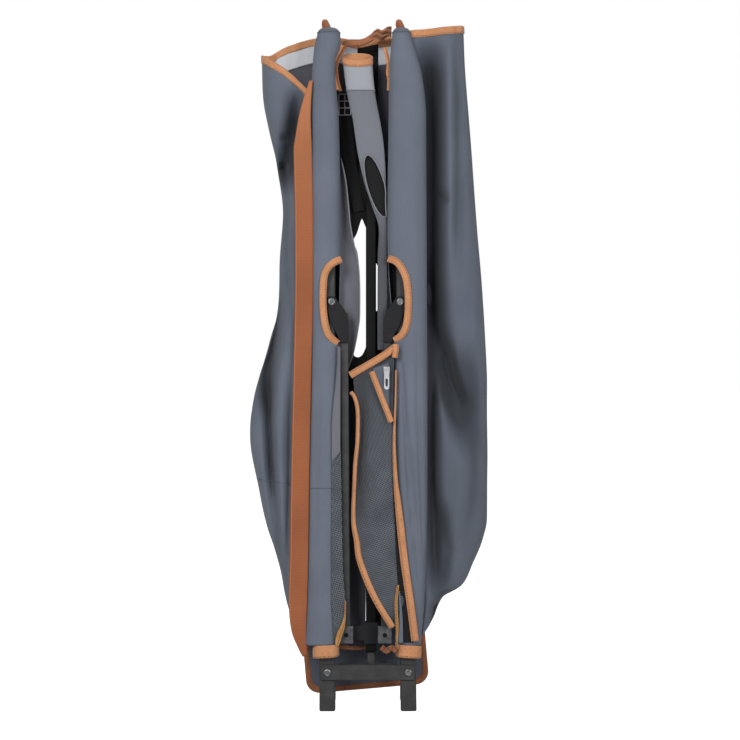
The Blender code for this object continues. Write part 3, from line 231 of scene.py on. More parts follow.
def smooth_value(table, where):
    """A smooth curve through a table of (place, value), flat beyond its ends."""
    if where <= table[0][0]:
        return table[0][1]
    if where >= table[-1][0]:
        return table[-1][1]
    i = next(k for k in range(len(table) - 1) if where <= table[k + 1][0])
    (z0, v0), (z1, v1) = table[i], table[i + 1]
    before, after = table[max(i - 1, 0)], table[min(i + 2, len(table) - 1)]
    slope0 = (v1 - before[1]) / (z1 - before[0])
    slope1 = (after[1] - v0) / (after[0] - z0)
    span, t = z1 - z0, (where - z0) / (z1 - z0)
    return (
        v0 * (2 * t**3 - 3 * t**2 + 1)
        + v1 * (3 * t**2 - 2 * t**3)
        + span * slope0 * (t**3 - 2 * t**2 + t)
        + span * slope1 * (t**3 - t**2)
    )


def smooth_line(points, share):
    """A point on the smooth curve through the given points; share runs from 0 to 1."""
    last = len(points) - 1
    i = min(int(share * last), last - 1)
    t = share * last - i
    p0, p1, p2, p3 = points[max(i - 1, 0)], points[i], points[i + 1], points[min(i + 2, last)]
    square = 2 * p0 - 5 * p1 + 4 * p2 - p3
    cube = 3 * p1 - p0 - 3 * p2 + p3
    return 0.5 * (2 * p1 + (p2 - p0) * t + square * t**2 + cube * t**3)


def blend_in(low, high, value):
    """0 below low, 1 above high and a soft step between."""
    t = min(1.0, max(0.0, (value - low) / (high - low)))
    return t * t * (3 - 2 * t)


def distance_to(line, x, z):
    """How far a point of the front is from a line of (x, height) points, and how far along the line it is."""
    nearest, share, run = 1.0, 0.0, 0.0
    for (ax, az), (bx, bz) in zip(line, line[1:]):
        dx, dz = bx - ax, bz - az
        t = min(1.0, max(0.0, ((x - ax) * dx + (z - az) * dz) / (dx * dx + dz * dz)))
        away = math.hypot(x - ax - t * dx, z - az - t * dz)
        if away < nearest:
            nearest, share = away, run + t * math.hypot(dx, dz)
        run += math.hypot(dx, dz)
    return nearest, share / run


def pressed(creases, x, z):
    """How far the creases push a point of the front back."""
    total = 0.0
    for line, width, deep in creases:
        away, along = distance_to(line, x, z)
        if away < 3 * width:
            taper = blend_in(-0.05, 0.28, along) * blend_in(-0.05, 0.28, 1 - along)
            total += deep * taper * math.exp(-((away / width) ** 2))
    return total


def ripple(x, z, tall, seed):
    """Soft unevenness of hanging cloth, longer in height than across."""
    return noise.noise(Vector((x * 38.0, z * 38.0 / tall, seed)))


# ---------------------------------------------------------------- making pieces
def draped(place, across, up, closed=False, flip=False, below_top=None, painted_shade=None):
    """A piece of cloth laid over a surface: place(u, v) gives the point at u across and v up, both 0 to 1.

    Its map is in metres. Where below_top is given, the map's height is measured down from the top edge.
    Where a shade function is given, it says how much painted shade the cloth takes at (u, v), from 0 to 1,
    kept as a mesh attribute.
    """
    data = bmesh.new()
    bmesh.ops.create_grid(data, x_segments=across, y_segments=up, size=1.0)
    layer = data.loops.layers.uv.new("cut")
    deep = data.verts.layers.float.new("painted_shade_level") if painted_shade else None
    share = {v: ((v.co.x + 1) / 2, (v.co.y + 1) / 2) for v in data.verts}
    rows = [[place(i / 12, j / 12) for i in range(13)] for j in range(13)]
    width = sum((b - a).length for row in rows for a, b in zip(row, row[1:])) / 13
    height = sum((rows[j + 1][i] - rows[j][i]).length for i in range(13) for j in range(12)) / 13
    for face in data.faces:
        for loop in face.loops:
            u, v = share[loop.vert]
            down = below_top(u, v) if below_top else v * height
            loop[layer].uv = (u * width, down)
    if painted_shade:
        for v in data.verts:
            v[deep] = painted_shade(*share[v])
    for v in data.verts:
        v.co = place(*share[v])
    if closed:
        bmesh.ops.remove_doubles(data, verts=data.verts, dist=0.00002)
    if flip:
        bmesh.ops.reverse_faces(data, faces=data.faces)
    return data


def finish_piece(
    name, data, materials, body=None, wall=0.0, lined=False, replaced=(), middle=False,
):
    """Turns a bmesh into a smooth object with its materials, and ties it to the body that it rides on."""
    mesh = bpy.data.meshes.new(name)
    data.to_mesh(mesh)
    data.free()
    for material in materials:
        mesh.materials.append(material)
    mesh.shade_smooth()
    mesh.set_sharp_from_angle(angle=math.radians(50))
    piece = bpy.data.objects.new(name, mesh)
    bpy.context.scene.collection.objects.link(piece)
    if wall:
        shell = piece.modifiers.new("cloth", "SOLIDIFY")
        shell.thickness = wall
        shell.offset = 0.0 if middle else -1.0
        if lined:
            shell.material_offset = 1
            shell.material_offset_rim = 0
    if body:
        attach(piece, body)
    if replaced:
        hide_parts(*replaced)
    return piece


def tape(
    name, line, width, material, body, crown=0.0006, steps=60, facing=(0, -1, 0), thickness=TAPE,
    replaced=(), wave=0.0,
):
    """Bias tape along a line of points: crowned across, with its map running along it."""
    facing = Vector(facing)
    points = [Vector(p) for p in line]
    size = width if callable(width) else (lambda share: width)

    def place(u, v):
        here = smooth_line(points, u)
        along = (smooth_line(points, min(1, u + 0.01)) - smooth_line(points, max(0, u - 0.01))).normalized()
        side = along.cross(facing).normalized()
        t = 2 * v - 1
        flutter = wave * math.sin(u * 23.0) + wave * 0.5 * math.sin(u * 57.0 + 1.0)
        return here + side * (t * size(u) / 2) + facing * (crown * (1 - t * t) + flutter)

    data = draped(place, steps, 6)
    return finish_piece(name, data, [material], body, wall=thickness, replaced=replaced, middle=True)


def thread(name, line, radius, material, body, steps=24):
    """A round cord or piping along a line of points."""
    points = [Vector(p) for p in line]

    def place(u, v):
        here = smooth_line(points, u)
        along = (smooth_line(points, min(1, u + 0.01)) - smooth_line(points, max(0, u - 0.01))).normalized()
        side = along.cross(Vector((0, -1, 0.03))).normalized()
        other = side.cross(along)
        a = 2 * math.pi * v
        return here + side * (radius * math.cos(a)) + other * (radius * math.sin(a))

    data = draped(place, steps, 8, closed=True)
    ends = [e for e in data.edges if e.is_boundary]
    bmesh.ops.holes_fill(data, edges=ends, sides=12)
    bmesh.ops.recalc_face_normals(data, faces=data.faces)
    return finish_piece(name, data, [material], body)


# ---------------------------------------------------------------- materials
def sockets(group, inputs, outputs):
    for label, kind, value in inputs:
        made = group.interface.new_socket(name=label, in_out="INPUT", socket_type=kind)
        if value is not None:
            made.default_value = value
    for label, kind in outputs:
        group.interface.new_socket(name=label, in_out="OUTPUT", socket_type=kind)


def node(tree, kind, **settings):
    made = tree.nodes.new(kind)
    for key, value in settings.items():
        setattr(made, key, value)
    return made


def sums(tree, operation, first, second=None, third=None):
    """A maths node fed by numbers or sockets; gives its output."""
    made = node(tree, "ShaderNodeMath", operation=operation)
    for slot, value in zip(made.inputs, (first, second, third)):
        if value is None:
            continue
        if isinstance(value, (int, float)):
            slot.default_value = value
        else:
            tree.links.new(value, slot)
    return made.outputs[0]


def weave_group():
    """Plain weave: over-and-under threads at the given number to the metre."""
    group = bpy.data.node_groups.new("plain_weave", "ShaderNodeTree")
    sockets(
        group,
        [("Map", "NodeSocketVector", None), ("Threads", "NodeSocketFloat", 1500.0)],
        [("Height", "NodeSocketFloat"), ("Slubs", "NodeSocketFloat")],
    )
    start, end = node(group, "NodeGroupInput"), node(group, "NodeGroupOutput")
    split = node(group, "ShaderNodeSeparateXYZ")
    group.links.new(start.outputs["Map"], split.inputs[0])
    turns = sums(group, "MULTIPLY", start.outputs["Threads"], math.pi)
    warp = sums(group, "SINE", sums(group, "MULTIPLY", split.outputs[0], turns))
    weft = sums(group, "SINE", sums(group, "MULTIPLY", split.outputs[1], turns))
    group.links.new(sums(group, "MULTIPLY", warp, weft), end.inputs["Height"])
    stretch = node(group, "ShaderNodeMapping")
    stretch.inputs["Scale"].default_value = (1.0, 0.12, 1.0)
    slub = node(group, "ShaderNodeTexNoise", noise_dimensions="3D")
    slub.inputs["Scale"].default_value = 420.0
    slub.inputs["Detail"].default_value = 2.0
    group.links.new(start.outputs["Map"], stretch.inputs["Vector"])
    group.links.new(stretch.outputs[0], slub.inputs["Vector"])
    group.links.new(slub.outputs["Fac"], end.inputs["Slubs"])
    return group


def stitch_group():
    """A line of stitches along a map, at one place across it."""
    group = bpy.data.node_groups.new("stitches", "ShaderNodeTree")
    sockets(
        group,
        [
            ("Map", "NodeSocketVector", None), ("Across", "NodeSocketFloat", 0.002),
            ("Pitch", "NodeSocketFloat", 0.0032),
            ("Width", "NodeSocketFloat", 0.0006),
        ],
        [("Mask", "NodeSocketFloat")],
    )
    start, end = node(group, "NodeGroupInput"), node(group, "NodeGroupOutput")
    split = node(group, "ShaderNodeSeparateXYZ")
    group.links.new(start.outputs["Map"], split.inputs[0])
    away = sums(group, "ABSOLUTE", sums(group, "SUBTRACT", split.outputs[1], start.outputs["Across"]))
    inside = sums(group, "LESS_THAN", away, start.outputs["Width"])
    step = sums(group, "FRACT", sums(group, "DIVIDE", split.outputs[0], start.outputs["Pitch"]))
    dash = sums(group, "LESS_THAN", step, 0.68)
    group.links.new(sums(group, "MULTIPLY", inside, dash), end.inputs["Mask"])
    return group


def mottle_group():
    """Broad, soft unevenness of colour over a surface."""
    group = bpy.data.node_groups.new("mottle", "ShaderNodeTree")
    sockets(
        group,
        [("Place", "NodeSocketVector", None), ("Scale", "NodeSocketFloat", 14.0)],
        [("Broad", "NodeSocketFloat"), ("Fine", "NodeSocketFloat")],
    )
    start, end = node(group, "NodeGroupInput"), node(group, "NodeGroupOutput")
    for label, factor, detail in (("Broad", 1.0, 3.0), ("Fine", 22.0, 2.0)):
        cloud = node(group, "ShaderNodeTexNoise", noise_dimensions="3D")
        cloud.inputs["Detail"].default_value = detail
        group.links.new(start.outputs["Place"], cloud.inputs["Vector"])
        group.links.new(sums(group, "MULTIPLY", start.outputs["Scale"], factor), cloud.inputs["Scale"])
        group.links.new(cloud.outputs["Fac"], end.inputs[label])
    return group


WEAVE, STITCHES, MOTTLE = weave_group(), stitch_group(), mottle_group()


def start_material(name, roughness, metallic=0.0):
    made = bpy.data.materials.new(name)
    made.use_nodes = True
    shader = made.node_tree.nodes["Principled BSDF"]
    shader.inputs["Roughness"].default_value = roughness
    shader.inputs["Metallic"].default_value = metallic
    return made, made.node_tree, shader


def use_group(tree, group, **values):
    made = node(tree, "ShaderNodeGroup", node_tree=group)
    for label, value in values.items():
        if isinstance(value, (int, float)):
            made.inputs[label].default_value = value
        else:
            tree.links.new(value, made.inputs[label])
    return made


def mix_colours(tree, amount, first, second):
    made = node(tree, "ShaderNodeMix", data_type="RGBA")
    for label, value in (("A", first), ("B", second)):
        socket = next(s for s in made.inputs if s.name == label and s.type == "RGBA")
        if isinstance(value, tuple):
            socket.default_value = (*value, 1.0)
        else:
            tree.links.new(value, socket)
    if isinstance(amount, (int, float)):
        made.inputs[0].default_value = amount
    else:
        tree.links.new(amount, made.inputs[0])
    return next(s for s in made.outputs if s.type == "RGBA")


def spread(tree, value, low, high):
    """Stretches the part of a value between low and high to 0 to 1."""
    made = node(tree, "ShaderNodeMapRange")
    made.inputs["From Min"].default_value = low
    made.inputs["From Max"].default_value = high
    tree.links.new(value, made.inputs["Value"])
    return made.outputs[0]


def raise_surface(tree, shader, height, distance, strength=1.0):
    bump = node(tree, "ShaderNodeBump")
    bump.inputs["Distance"].default_value = distance
    bump.inputs["Strength"].default_value = strength
    tree.links.new(height, bump.inputs["Height"])
    tree.links.new(bump.outputs[0], shader.inputs["Normal"])


def woven(
    name, light, dark, roughness=0.72, threads=1500.0, sheen=0.15, relief=0.00012, facing=None, folds=0.0,
):
    """Woven cloth: two near tones, a fine weave, a facing band below the top edge where one is given, and
    painted shade read from a mesh attribute where an amount for it is given.
    """
    made, tree, shader = start_material(name, roughness)
    shader.inputs["Sheen Weight"].default_value = sheen
    shader.inputs["Sheen Roughness"].default_value = 0.45
    shader.inputs["Specular IOR Level"].default_value = 0.35
    cut = node(tree, "ShaderNodeUVMap", uv_map="cut").outputs[0]
    place = node(tree, "ShaderNodeTexCoord").outputs["Object"]
    weave = use_group(tree, WEAVE, Map=cut, Threads=threads)
    mottle = use_group(tree, MOTTLE, Place=place, Scale=13.0)
    broad = spread(tree, mottle.outputs["Broad"], 0.3, 0.7)
    colour = mix_colours(tree, broad, dark, light)
    slubbed = mix_colours(
        tree, sums(tree, "MULTIPLY", weave.outputs["Slubs"], 0.25), colour, tuple(0.6 * c for c in dark),
    )
    height = sums(tree, "ADD", weave.outputs["Height"], weave.outputs["Slubs"])
    if facing:
        split = node(tree, "ShaderNodeSeparateXYZ")
        tree.links.new(cut, split.inputs[0])
        band = sums(tree, "GREATER_THAN", split.outputs[1], -facing[0])
        slubbed = mix_colours(tree, band, slubbed, facing[1])
    # Painted shade: the colour darkens towards near black by the mesh attribute, in the creases and hollows.
    if folds:
        deep = node(tree, "ShaderNodeAttribute", attribute_name="painted_shade_level")
        amount = sums(tree, "MULTIPLY", deep.outputs["Fac"], folds)
        slubbed = mix_colours(tree, amount, slubbed, tuple(0.10 * c for c in dark))
    tree.links.new(slubbed, shader.inputs["Base Color"])
    rough = sums(tree, "MULTIPLY_ADD", mottle.outputs["Fine"], 0.12, roughness - 0.06)
    tree.links.new(rough, shader.inputs["Roughness"])
    raise_surface(tree, shader, height, relief)
    return made


def bias_tape(name, light, dark, stitch_at=(0.0018,), thread_colour=None, ribs=1300.0):
    """Binding tape: fine cross ribs, an uneven dye and a line of stitches along it."""
    made, tree, shader = start_material(name, 0.78)
    shader.inputs["Sheen Weight"].default_value = 0.2
    shader.inputs["Specular IOR Level"].default_value = 0.3
    cut = node(tree, "ShaderNodeUVMap", uv_map="cut").outputs[0]
    place = node(tree, "ShaderNodeTexCoord").outputs["Object"]
    split = node(tree, "ShaderNodeSeparateXYZ")
    tree.links.new(cut, split.inputs[0])
    rib = sums(tree, "SINE", sums(tree, "MULTIPLY", split.outputs[0], ribs * math.pi))
    mottle = use_group(tree, MOTTLE, Place=place, Scale=40.0)
    colour = mix_colours(tree, spread(tree, mottle.outputs["Broad"], 0.35, 0.65), dark, light)
    colour = mix_colours(
        tree, spread(tree, mottle.outputs["Fine"], 0.45, 0.75), colour, tuple(0.72 * c for c in dark),
    )
    height = sums(tree, "MULTIPLY", rib, 0.5)
    for across in stitch_at:
        row = use_group(tree, STITCHES, Map=cut, Across=across)
        colour = mix_colours(
            tree, row.outputs["Mask"], colour, thread_colour or tuple(0.55 * c for c in dark),
        )
        height = sums(tree, "SUBTRACT", height, row.outputs["Mask"])
    tree.links.new(colour, shader.inputs["Base Color"])
    raise_surface(tree, shader, height, 0.00015)
    return made


def strap_material():
    """Heavy webbing with cross ribs and pale edge lines; a painted highlight makes it lighter towards its
    upper end.
    """
    made, tree, shader = start_material("strap_webbing_lit_top", 0.7)
    shader.inputs["Specular IOR Level"].default_value = 0.25
    cut = node(tree, "ShaderNodeUVMap", uv_map="cut").outputs[0]
    place = node(tree, "ShaderNodeTexCoord").outputs["Object"]
    split = node(tree, "ShaderNodeSeparateXYZ")
    tree.links.new(cut, split.inputs[0])
    rib = sums(tree, "SINE", sums(tree, "MULTIPLY", split.outputs[1], 2 * math.pi / 0.0021))
    cord_line = sums(tree, "SINE", sums(tree, "MULTIPLY", split.outputs[0], 2 * math.pi / 0.0030))
    mottle = use_group(tree, MOTTLE, Place=place, Scale=9.0)
    colour = mix_colours(
        tree, spread(tree, mottle.outputs["Broad"], 0.35, 0.65), (0.262, 0.082, 0.031), (0.335, 0.108, 0.042),
    )
    colour = mix_colours(
        tree, sums(tree, "MULTIPLY", spread(tree, rib, 0.2, 1.0), 0.40), colour, (0.195, 0.056, 0.021),
    )
    # Painted highlight: the webbing lightens towards its upper end.
    height = node(tree, "ShaderNodeSeparateXYZ")
    tree.links.new(place, height.inputs[0])
    lit = spread(tree, height.outputs[2], 0.66, 0.90)
    colour = mix_colours(tree, sums(tree, "MULTIPLY", lit, 0.60), colour, (0.500, 0.205, 0.092))
    for across in (0.0015, 0.0230):
        edge = node(tree, "ShaderNodeSeparateXYZ")
        tree.links.new(cut, edge.inputs[0])
        away = sums(tree, "ABSOLUTE", sums(tree, "SUBTRACT", edge.outputs[0], across))
        colour = mix_colours(tree, sums(tree, "LESS_THAN", away, 0.0007), colour, (0.37, 0.135, 0.058))
    tree.links.new(colour, shader.inputs["Base Color"])
    raise_surface(tree, shader, sums(tree, "MULTIPLY_ADD", cord_line, 0.4, rib), 0.00010)
    return made


def net_material():
    """Pocket mesh: small pale knots in a slanted net over dark holes, with painted sheen patches and painted
    shade read from a mesh attribute.
    """
    made, tree, shader = start_material("pocket_net", 0.5)
    shader.inputs["Sheen Weight"].default_value = 0.35
    cut = node(tree, "ShaderNodeUVMap", uv_map="cut").outputs[0]
    place = node(tree, "ShaderNodeTexCoord").outputs["Object"]
    turn = node(tree, "ShaderNodeMapping")
    turn.inputs["Rotation"].default_value = (0.0, 0.0, math.radians(32))
    turn.inputs["Scale"].default_value = (1.0, 0.8, 1.0)
    tree.links.new(cut, turn.inputs["Vector"])
    net = use_group(tree, WEAVE, Map=turn.outputs[0], Threads=700.0)
    mottle = use_group(tree, MOTTLE, Place=place, Scale=22.0)
    knots = spread(tree, net.outputs["Height"], 0.10, 0.85)
    sheen_patch = spread(tree, mottle.outputs["Broad"], 0.35, 0.70)
    pale = mix_colours(tree, sheen_patch, (0.100, 0.118, 0.150), (0.300, 0.340, 0.400))
    colour = mix_colours(tree, knots, (0.022, 0.027, 0.036), pale)
    # Painted shade: near black where the mesh attribute is high, in the pocket's hollow, along its top and
    # bottom and down its right edge.
    deep = node(tree, "ShaderNodeAttribute", attribute_name="painted_shade_level")
    colour = mix_colours(
        tree, sums(tree, "MULTIPLY", deep.outputs["Fac"], 0.75), colour, (0.012, 0.015, 0.020),
    )
    tree.links.new(colour, shader.inputs["Base Color"])
    raise_surface(tree, shader, net.outputs["Height"], 0.0004)
    return made


def painted_steel(name, colour, roughness, speck=0.0, gloss=0.5):
    """Powder-coated steel: orange-peel surface and faint rubbed patches."""
    made, tree, shader = start_material(name, roughness)
    shader.inputs["Specular IOR Level"].default_value = gloss
    place = node(tree, "ShaderNodeTexCoord").outputs["Object"]
    mottle = use_group(tree, MOTTLE, Place=place, Scale=60.0)
    rubbed = spread(tree, mottle.outputs["Broad"], 0.45, 0.75)
    shade = mix_colours(tree, rubbed, colour, tuple(1.35 * c + speck for c in colour))
    tree.links.new(shade, shader.inputs["Base Color"])
    tree.links.new(
        sums(tree, "MULTIPLY_ADD", mottle.outputs["Fine"], 0.2, roughness - 0.1), shader.inputs["Roughness"],
    )
    raise_surface(tree, shader, mottle.outputs["Fine"], 0.00005)
    return made


def bright_steel(name, light, dark, roughness, scale=90.0, metallic=0.9):
    """Plated steel with a spangled, slightly tarnished face."""
    made, tree, shader = start_material(name, roughness, metallic)
    place = node(tree, "ShaderNodeTexCoord").outputs["Object"]
    mottle = use_group(tree, MOTTLE, Place=place, Scale=scale)
    grains = node(tree, "ShaderNodeTexVoronoi")
    grains.inputs["Scale"].default_value = scale * 8
    tree.links.new(place, grains.inputs["Vector"])
    shade = mix_colours(tree, spread(tree, mottle.outputs["Broad"], 0.35, 0.65), dark, light)
    shade = mix_colours(
        tree, sums(tree, "MULTIPLY", grains.outputs["Distance"], 0.6), shade, tuple(0.5 * c for c in dark),
    )
    tree.links.new(shade, shader.inputs["Base Color"])
    tree.links.new(
        sums(tree, "MULTIPLY_ADD", mottle.outputs["Fine"], 0.3, roughness - 0.15), shader.inputs["Roughness"],
    )
    raise_surface(tree, shader, mottle.outputs["Fine"], 0.00004)
    return made


SLATE = woven("slate_cloth_woven", (0.140, 0.162, 0.206), (0.116, 0.134, 0.172))
# The panels' cloth, with painted shade darkening it in the creases.
SLATE_PANEL = woven("slate_cloth_painted_fold_shade", (0.136, 0.157, 0.200), (0.112, 0.130, 0.167), folds=0.85)
SLATE_DARK = woven("slate_cloth_shaded", (0.105, 0.118, 0.150), (0.085, 0.096, 0.124))
LINING = woven("grey_lining_woven", (0.165, 0.168, 0.196), (0.138, 0.141, 0.166), 0.78)
PANEL_LINING = woven(
    "panel_lining_woven", (0.100, 0.100, 0.125), (0.080, 0.080, 0.102), 0.8,
    facing=(0.034, (0.580, 0.600, 0.635))
)
# The divider cloth takes painted shade, darker towards its lower end.
DIVIDER_CLOTH = woven(
    "divider_cloth_woven", (0.180, 0.188, 0.218), (0.165, 0.172, 0.200), 0.76,
    facing=(0.047, (0.310, 0.322, 0.352)),
    folds=0.95,
)
# Near-black cloth: the own colour of the back panel, its webbing and the pocket gusset, and painted shade
# where it lines the inner faces of the sleeves, divider, lining and pocket, and in the cloth behind the post.
BLACK_CLOTH_AND_SHADE = woven("black_cloth_and_shade_woven", (0.010, 0.010, 0.011), (0.006, 0.006, 0.007), 0.9, sheen=0.0)
# Copper tape in three shades of one colour: the light one is the tape's own colour, the shaded one is painted
# shade for the hem gathered inside the mouth, and the deep one is the base board's own darker binding and
# painted shade on the tip loops, the inner throat tape and the loose ends behind the hems.
COPPER = bias_tape("copper_tape_light", (0.600, 0.275, 0.128), (0.505, 0.225, 0.101))
SHADED_COPPER = bias_tape("copper_tape_shaded", (0.420, 0.172, 0.078), (0.315, 0.120, 0.054))
DARK_COPPER_AND_SHADE = bias_tape("copper_tape_dark_and_shaded", (0.330, 0.120, 0.052), (0.250, 0.088, 0.036))
MUSTARD = bias_tape("copper_tape_ochre", (0.520, 0.270, 0.085), (0.400, 0.190, 0.055))
WEBBING = strap_material()
NET = net_material()
PALE_CORD = woven("pale_cord", (0.420, 0.430, 0.450), (0.330, 0.338, 0.355), 0.7, threads=900.0)
GREY_CORD = woven("grey_cord", (0.260, 0.266, 0.288), (0.215, 0.220, 0.240), 0.7, threads=900.0)
BLACK_STEEL = painted_steel("black_steel_coated", (0.034, 0.034, 0.035), 0.48, 0.006, 0.35)
DARK_STEEL = painted_steel("black_steel_dark", (0.0035, 0.0038, 0.0036), 0.55, 0.0, 0.12)
BLACK_PLASTIC = painted_steel("black_plastic_moulded", (0.0105, 0.0105, 0.0125), 0.60, 0.0, 0.20)
ZINC = bright_steel("zinc_steel_spangled", (0.200, 0.203, 0.215), (0.075, 0.077, 0.082), 0.50)
RIVET_STEEL = bright_steel("zinc_steel_rivet", (0.330, 0.330, 0.340), (0.160, 0.160, 0.168), 0.40, 160.0)
ZIP_STEEL = bright_steel(
    "zinc_steel_polished", (0.860, 0.860, 0.870), (0.640, 0.640, 0.655), 0.30, 60.0, 0.35,
)


# ---------------------------------------------------------------- steel and plastic from the frame
STEEL_FINISHES = {
    "black_steel": BLACK_STEEL, "zinc_steel": ZINC, "black_plastic": BLACK_PLASTIC, "slate_cloth": SLATE,
    "grey_lining": LINING, "black_cloth": BLACK_CLOTH_AND_SHADE, "copper_tape": DARK_COPPER_AND_SHADE, "strap_webbing": WEBBING,
    "pocket_mesh": NET,
}
OWN_FINISH = {
    "center_post": DARK_STEEL, "left_pivot_plate": BLACK_PLASTIC, "right_pivot_plate": BLACK_PLASTIC,
    "left_stay_clip": ZINC, "right_stay_clip": ZINC, "zip_slider": ZIP_STEEL, "zip_puller": ZIP_STEEL,
    "left_crossbar_rivet": RIVET_STEEL, "right_crossbar_rivet": RIVET_STEEL,
    "left_stay_rivet": RIVET_STEEL, "right_stay_rivet": RIVET_STEEL,
}


def finish_frame():
    """Gives each part of the frame its finer finish."""
    for name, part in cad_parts.items():
        for place in part.material_slots:
            base = place.material.name.split(".")[0] if place.material else ""
            finer = OWN_FINISH.get(name) or next(
                (m for key, m in STEEL_FINISHES.items() if base.startswith(key)), BLACK_STEEL,
            )
            place.material = finer


# ---------------------------------------------------------------- rivets
def tubular_rivet(name, body):
    """A rolled rivet head with a hollow middle, set over the plain head of the frame.

    The outline lists (share of the radius, millimetres behind the plain head's front).
    """
    low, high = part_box(name)
    middle = (low + high) / 2
    radius = (high.x - low.x) / 2
    outline = [
        (0.00, 1.6), (0.30, 1.6), (0.34, 0.6), (0.40, -0.1), (0.55, -0.35), (0.74, -0.15), (0.90, 0.5),
        (1.00, 1.5), (1.00, 1.9), (0.52, 1.95),
    ]
    data = bmesh.new()
    points = [data.verts.new(Vector((share * radius, low.y + rise * 0.001, 0))) for share, rise in outline]
    edges = [data.edges.new(pair) for pair in zip(points, points[1:])]
    bmesh.ops.spin(
        data, geom=points + edges, cent=(0, 0, 0), axis=(0, 1, 0), dvec=(0, 0, 0), angle=2 * math.pi,
        steps=40, use_merge=True,
    )
    bmesh.ops.remove_doubles(data, verts=data.verts, dist=0.00001)
    shank = [e for e in data.edges if e.is_boundary]
    bmesh.ops.holes_fill(data, edges=shank, sides=60)
    bmesh.ops.recalc_face_normals(data, faces=data.faces)
    bmesh.ops.translate(data, vec=(middle.x, 0, middle.z), verts=data.verts)
    finish_piece(f"{name}_head", data, [RIVET_STEEL], body)


def pin_head(name, body):
    """A low domed head on the front of a clip's pin."""
    low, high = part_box(name)
    middle = (low + high) / 2
    data = bmesh.new()
    bmesh.ops.create_uvsphere(data, u_segments=32, v_segments=16, radius=0.0031)
    bmesh.ops.scale(data, vec=(1.0, 0.35, 1.0), verts=data.verts)
    bmesh.ops.translate(data, vec=(middle.x, low.y - 0.0002, middle.z), verts=data.verts)
    finish_piece(f"{name}_head", data, [DARK_STEEL], body)


def rounded_plate(data, middle, half_width, half_height, thickness, hole):
    """A flat lozenge with round ends and a long hole.

    The hole is given as (half width, half height, height above the middle).
    """
    rings = []
    for wide, tall, rise in ((half_width, half_height, 0.0), hole):
        ring = []
        for i in range(48):
            a = 2 * math.pi * i / 48
            straight = math.copysign(max(0.0, tall - wide), math.sin(a)) if abs(math.sin(a)) > 1e-6 else 0.0
            ring.append(data.verts.new(middle + Vector((
                wide * math.cos(a), -thickness / 2, wide * math.sin(a) + straight + rise,
            ))))
        rings.append([data.edges.new((ring[i], ring[(i + 1) % 48])) for i in range(48)])
    faces = bmesh.ops.bridge_loops(data, edges=rings[0] + rings[1])["faces"]
    grown = bmesh.ops.extrude_face_region(data, geom=faces)["geom"]
    moved = [v for v in grown if isinstance(v, bmesh.types.BMVert)]
    bmesh.ops.translate(data, vec=(0, thickness, 0), verts=moved)
    bmesh.ops.recalc_face_normals(data, faces=data.faces)


def zip_pull():
    """The zip's puller with round ends and a long hole, in place of the plain one of the frame."""
    low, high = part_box("zip_puller")
    middle = (low + high) / 2
    half_width, half_height = (high.x - low.x) / 2, (high.z - low.z) / 2
    data = bmesh.new()
    rounded_plate(
        data, middle, half_width, half_height, high.y - low.y,
        (half_width * 0.5, half_height * 0.40, -half_height * 0.30),
    )
    finish_piece(
        "zip_puller_rounded", data, [ZIP_STEEL], "zip_puller_tab", replaced=("zip_puller",),
    )


# ---------------------------------------------------------------- sleeves
def sleeve_limits(side, z):
    return smooth_value(SLEEVE_OUTER[side], z), smooth_value(SLEEVE_INNER[side], z)


def sleeve_depth(z):
    """Half the sleeve's depth, which narrows towards the cap."""
    return SLEEVE_HALF_DEPTH * min(1.0, 0.62 + 0.38 * math.sqrt(max(0.0, (SLEEVE_TOP + 0.02 - z) / 0.085)))


def sleeve_face(side, x, z):
    """Depth of a sleeve's front at a distance x from the centre plane."""
    outer, inner = sleeve_limits(side, z)
    middle, half = side * (outer + inner) / 2, (outer - inner) / 2
    t = min(0.9999, abs((x - middle) / half))
    return -sleeve_depth(z) * (1 - t ** (2 / SLEEVE_SQUARE)) ** (SLEEVE_SQUARE / 2)


def sleeve_point(side, around, z, shrink=1.0, lift=0.0):
    """A point of a sleeve's section; around runs from the middle of the back and round by the outer side."""
    outer, inner = sleeve_limits(side, min(z, SLEEVE_TOP))
    middle, half = (outer + inner) / 2, (outer - inner) / 2
    a = 2 * math.pi * around + math.pi / 2
    c, s = math.cos(a), math.sin(a)
    x = half * shrink * math.copysign(abs(c) ** SLEEVE_SQUARE, c)
    y = sleeve_depth(min(z, SLEEVE_TOP)) * shrink * math.copysign(abs(s) ** SLEEVE_SQUARE, s)
    x_world = side * middle - x
    soft = ripple(x_world, z, 9.0, 3.0 + side) * 0.0011 + ripple(x_world * 2, z, 4.0, 8.0 + side) * 0.0004
    if s < 0:
        y += (soft + pressed(SLEEVE_CREASES[side], x_world, z)) * (-s)
    else:
        y += soft * s
    return at(x_world, y, z + lift)


def in_window(side, x, z):
    """Whether a point of the front lies inside the window's curved edge."""
    line = WINDOW[side]
    if not line[-1][1] < z < line[0][1]:
        return False
    for (ax, az), (bx, bz) in zip(line, line[1:]):
        if bz <= z <= az:
            edge = ax + (bx - ax) * (az - z) / (az - bz)
            return side * x < side * edge
    return False


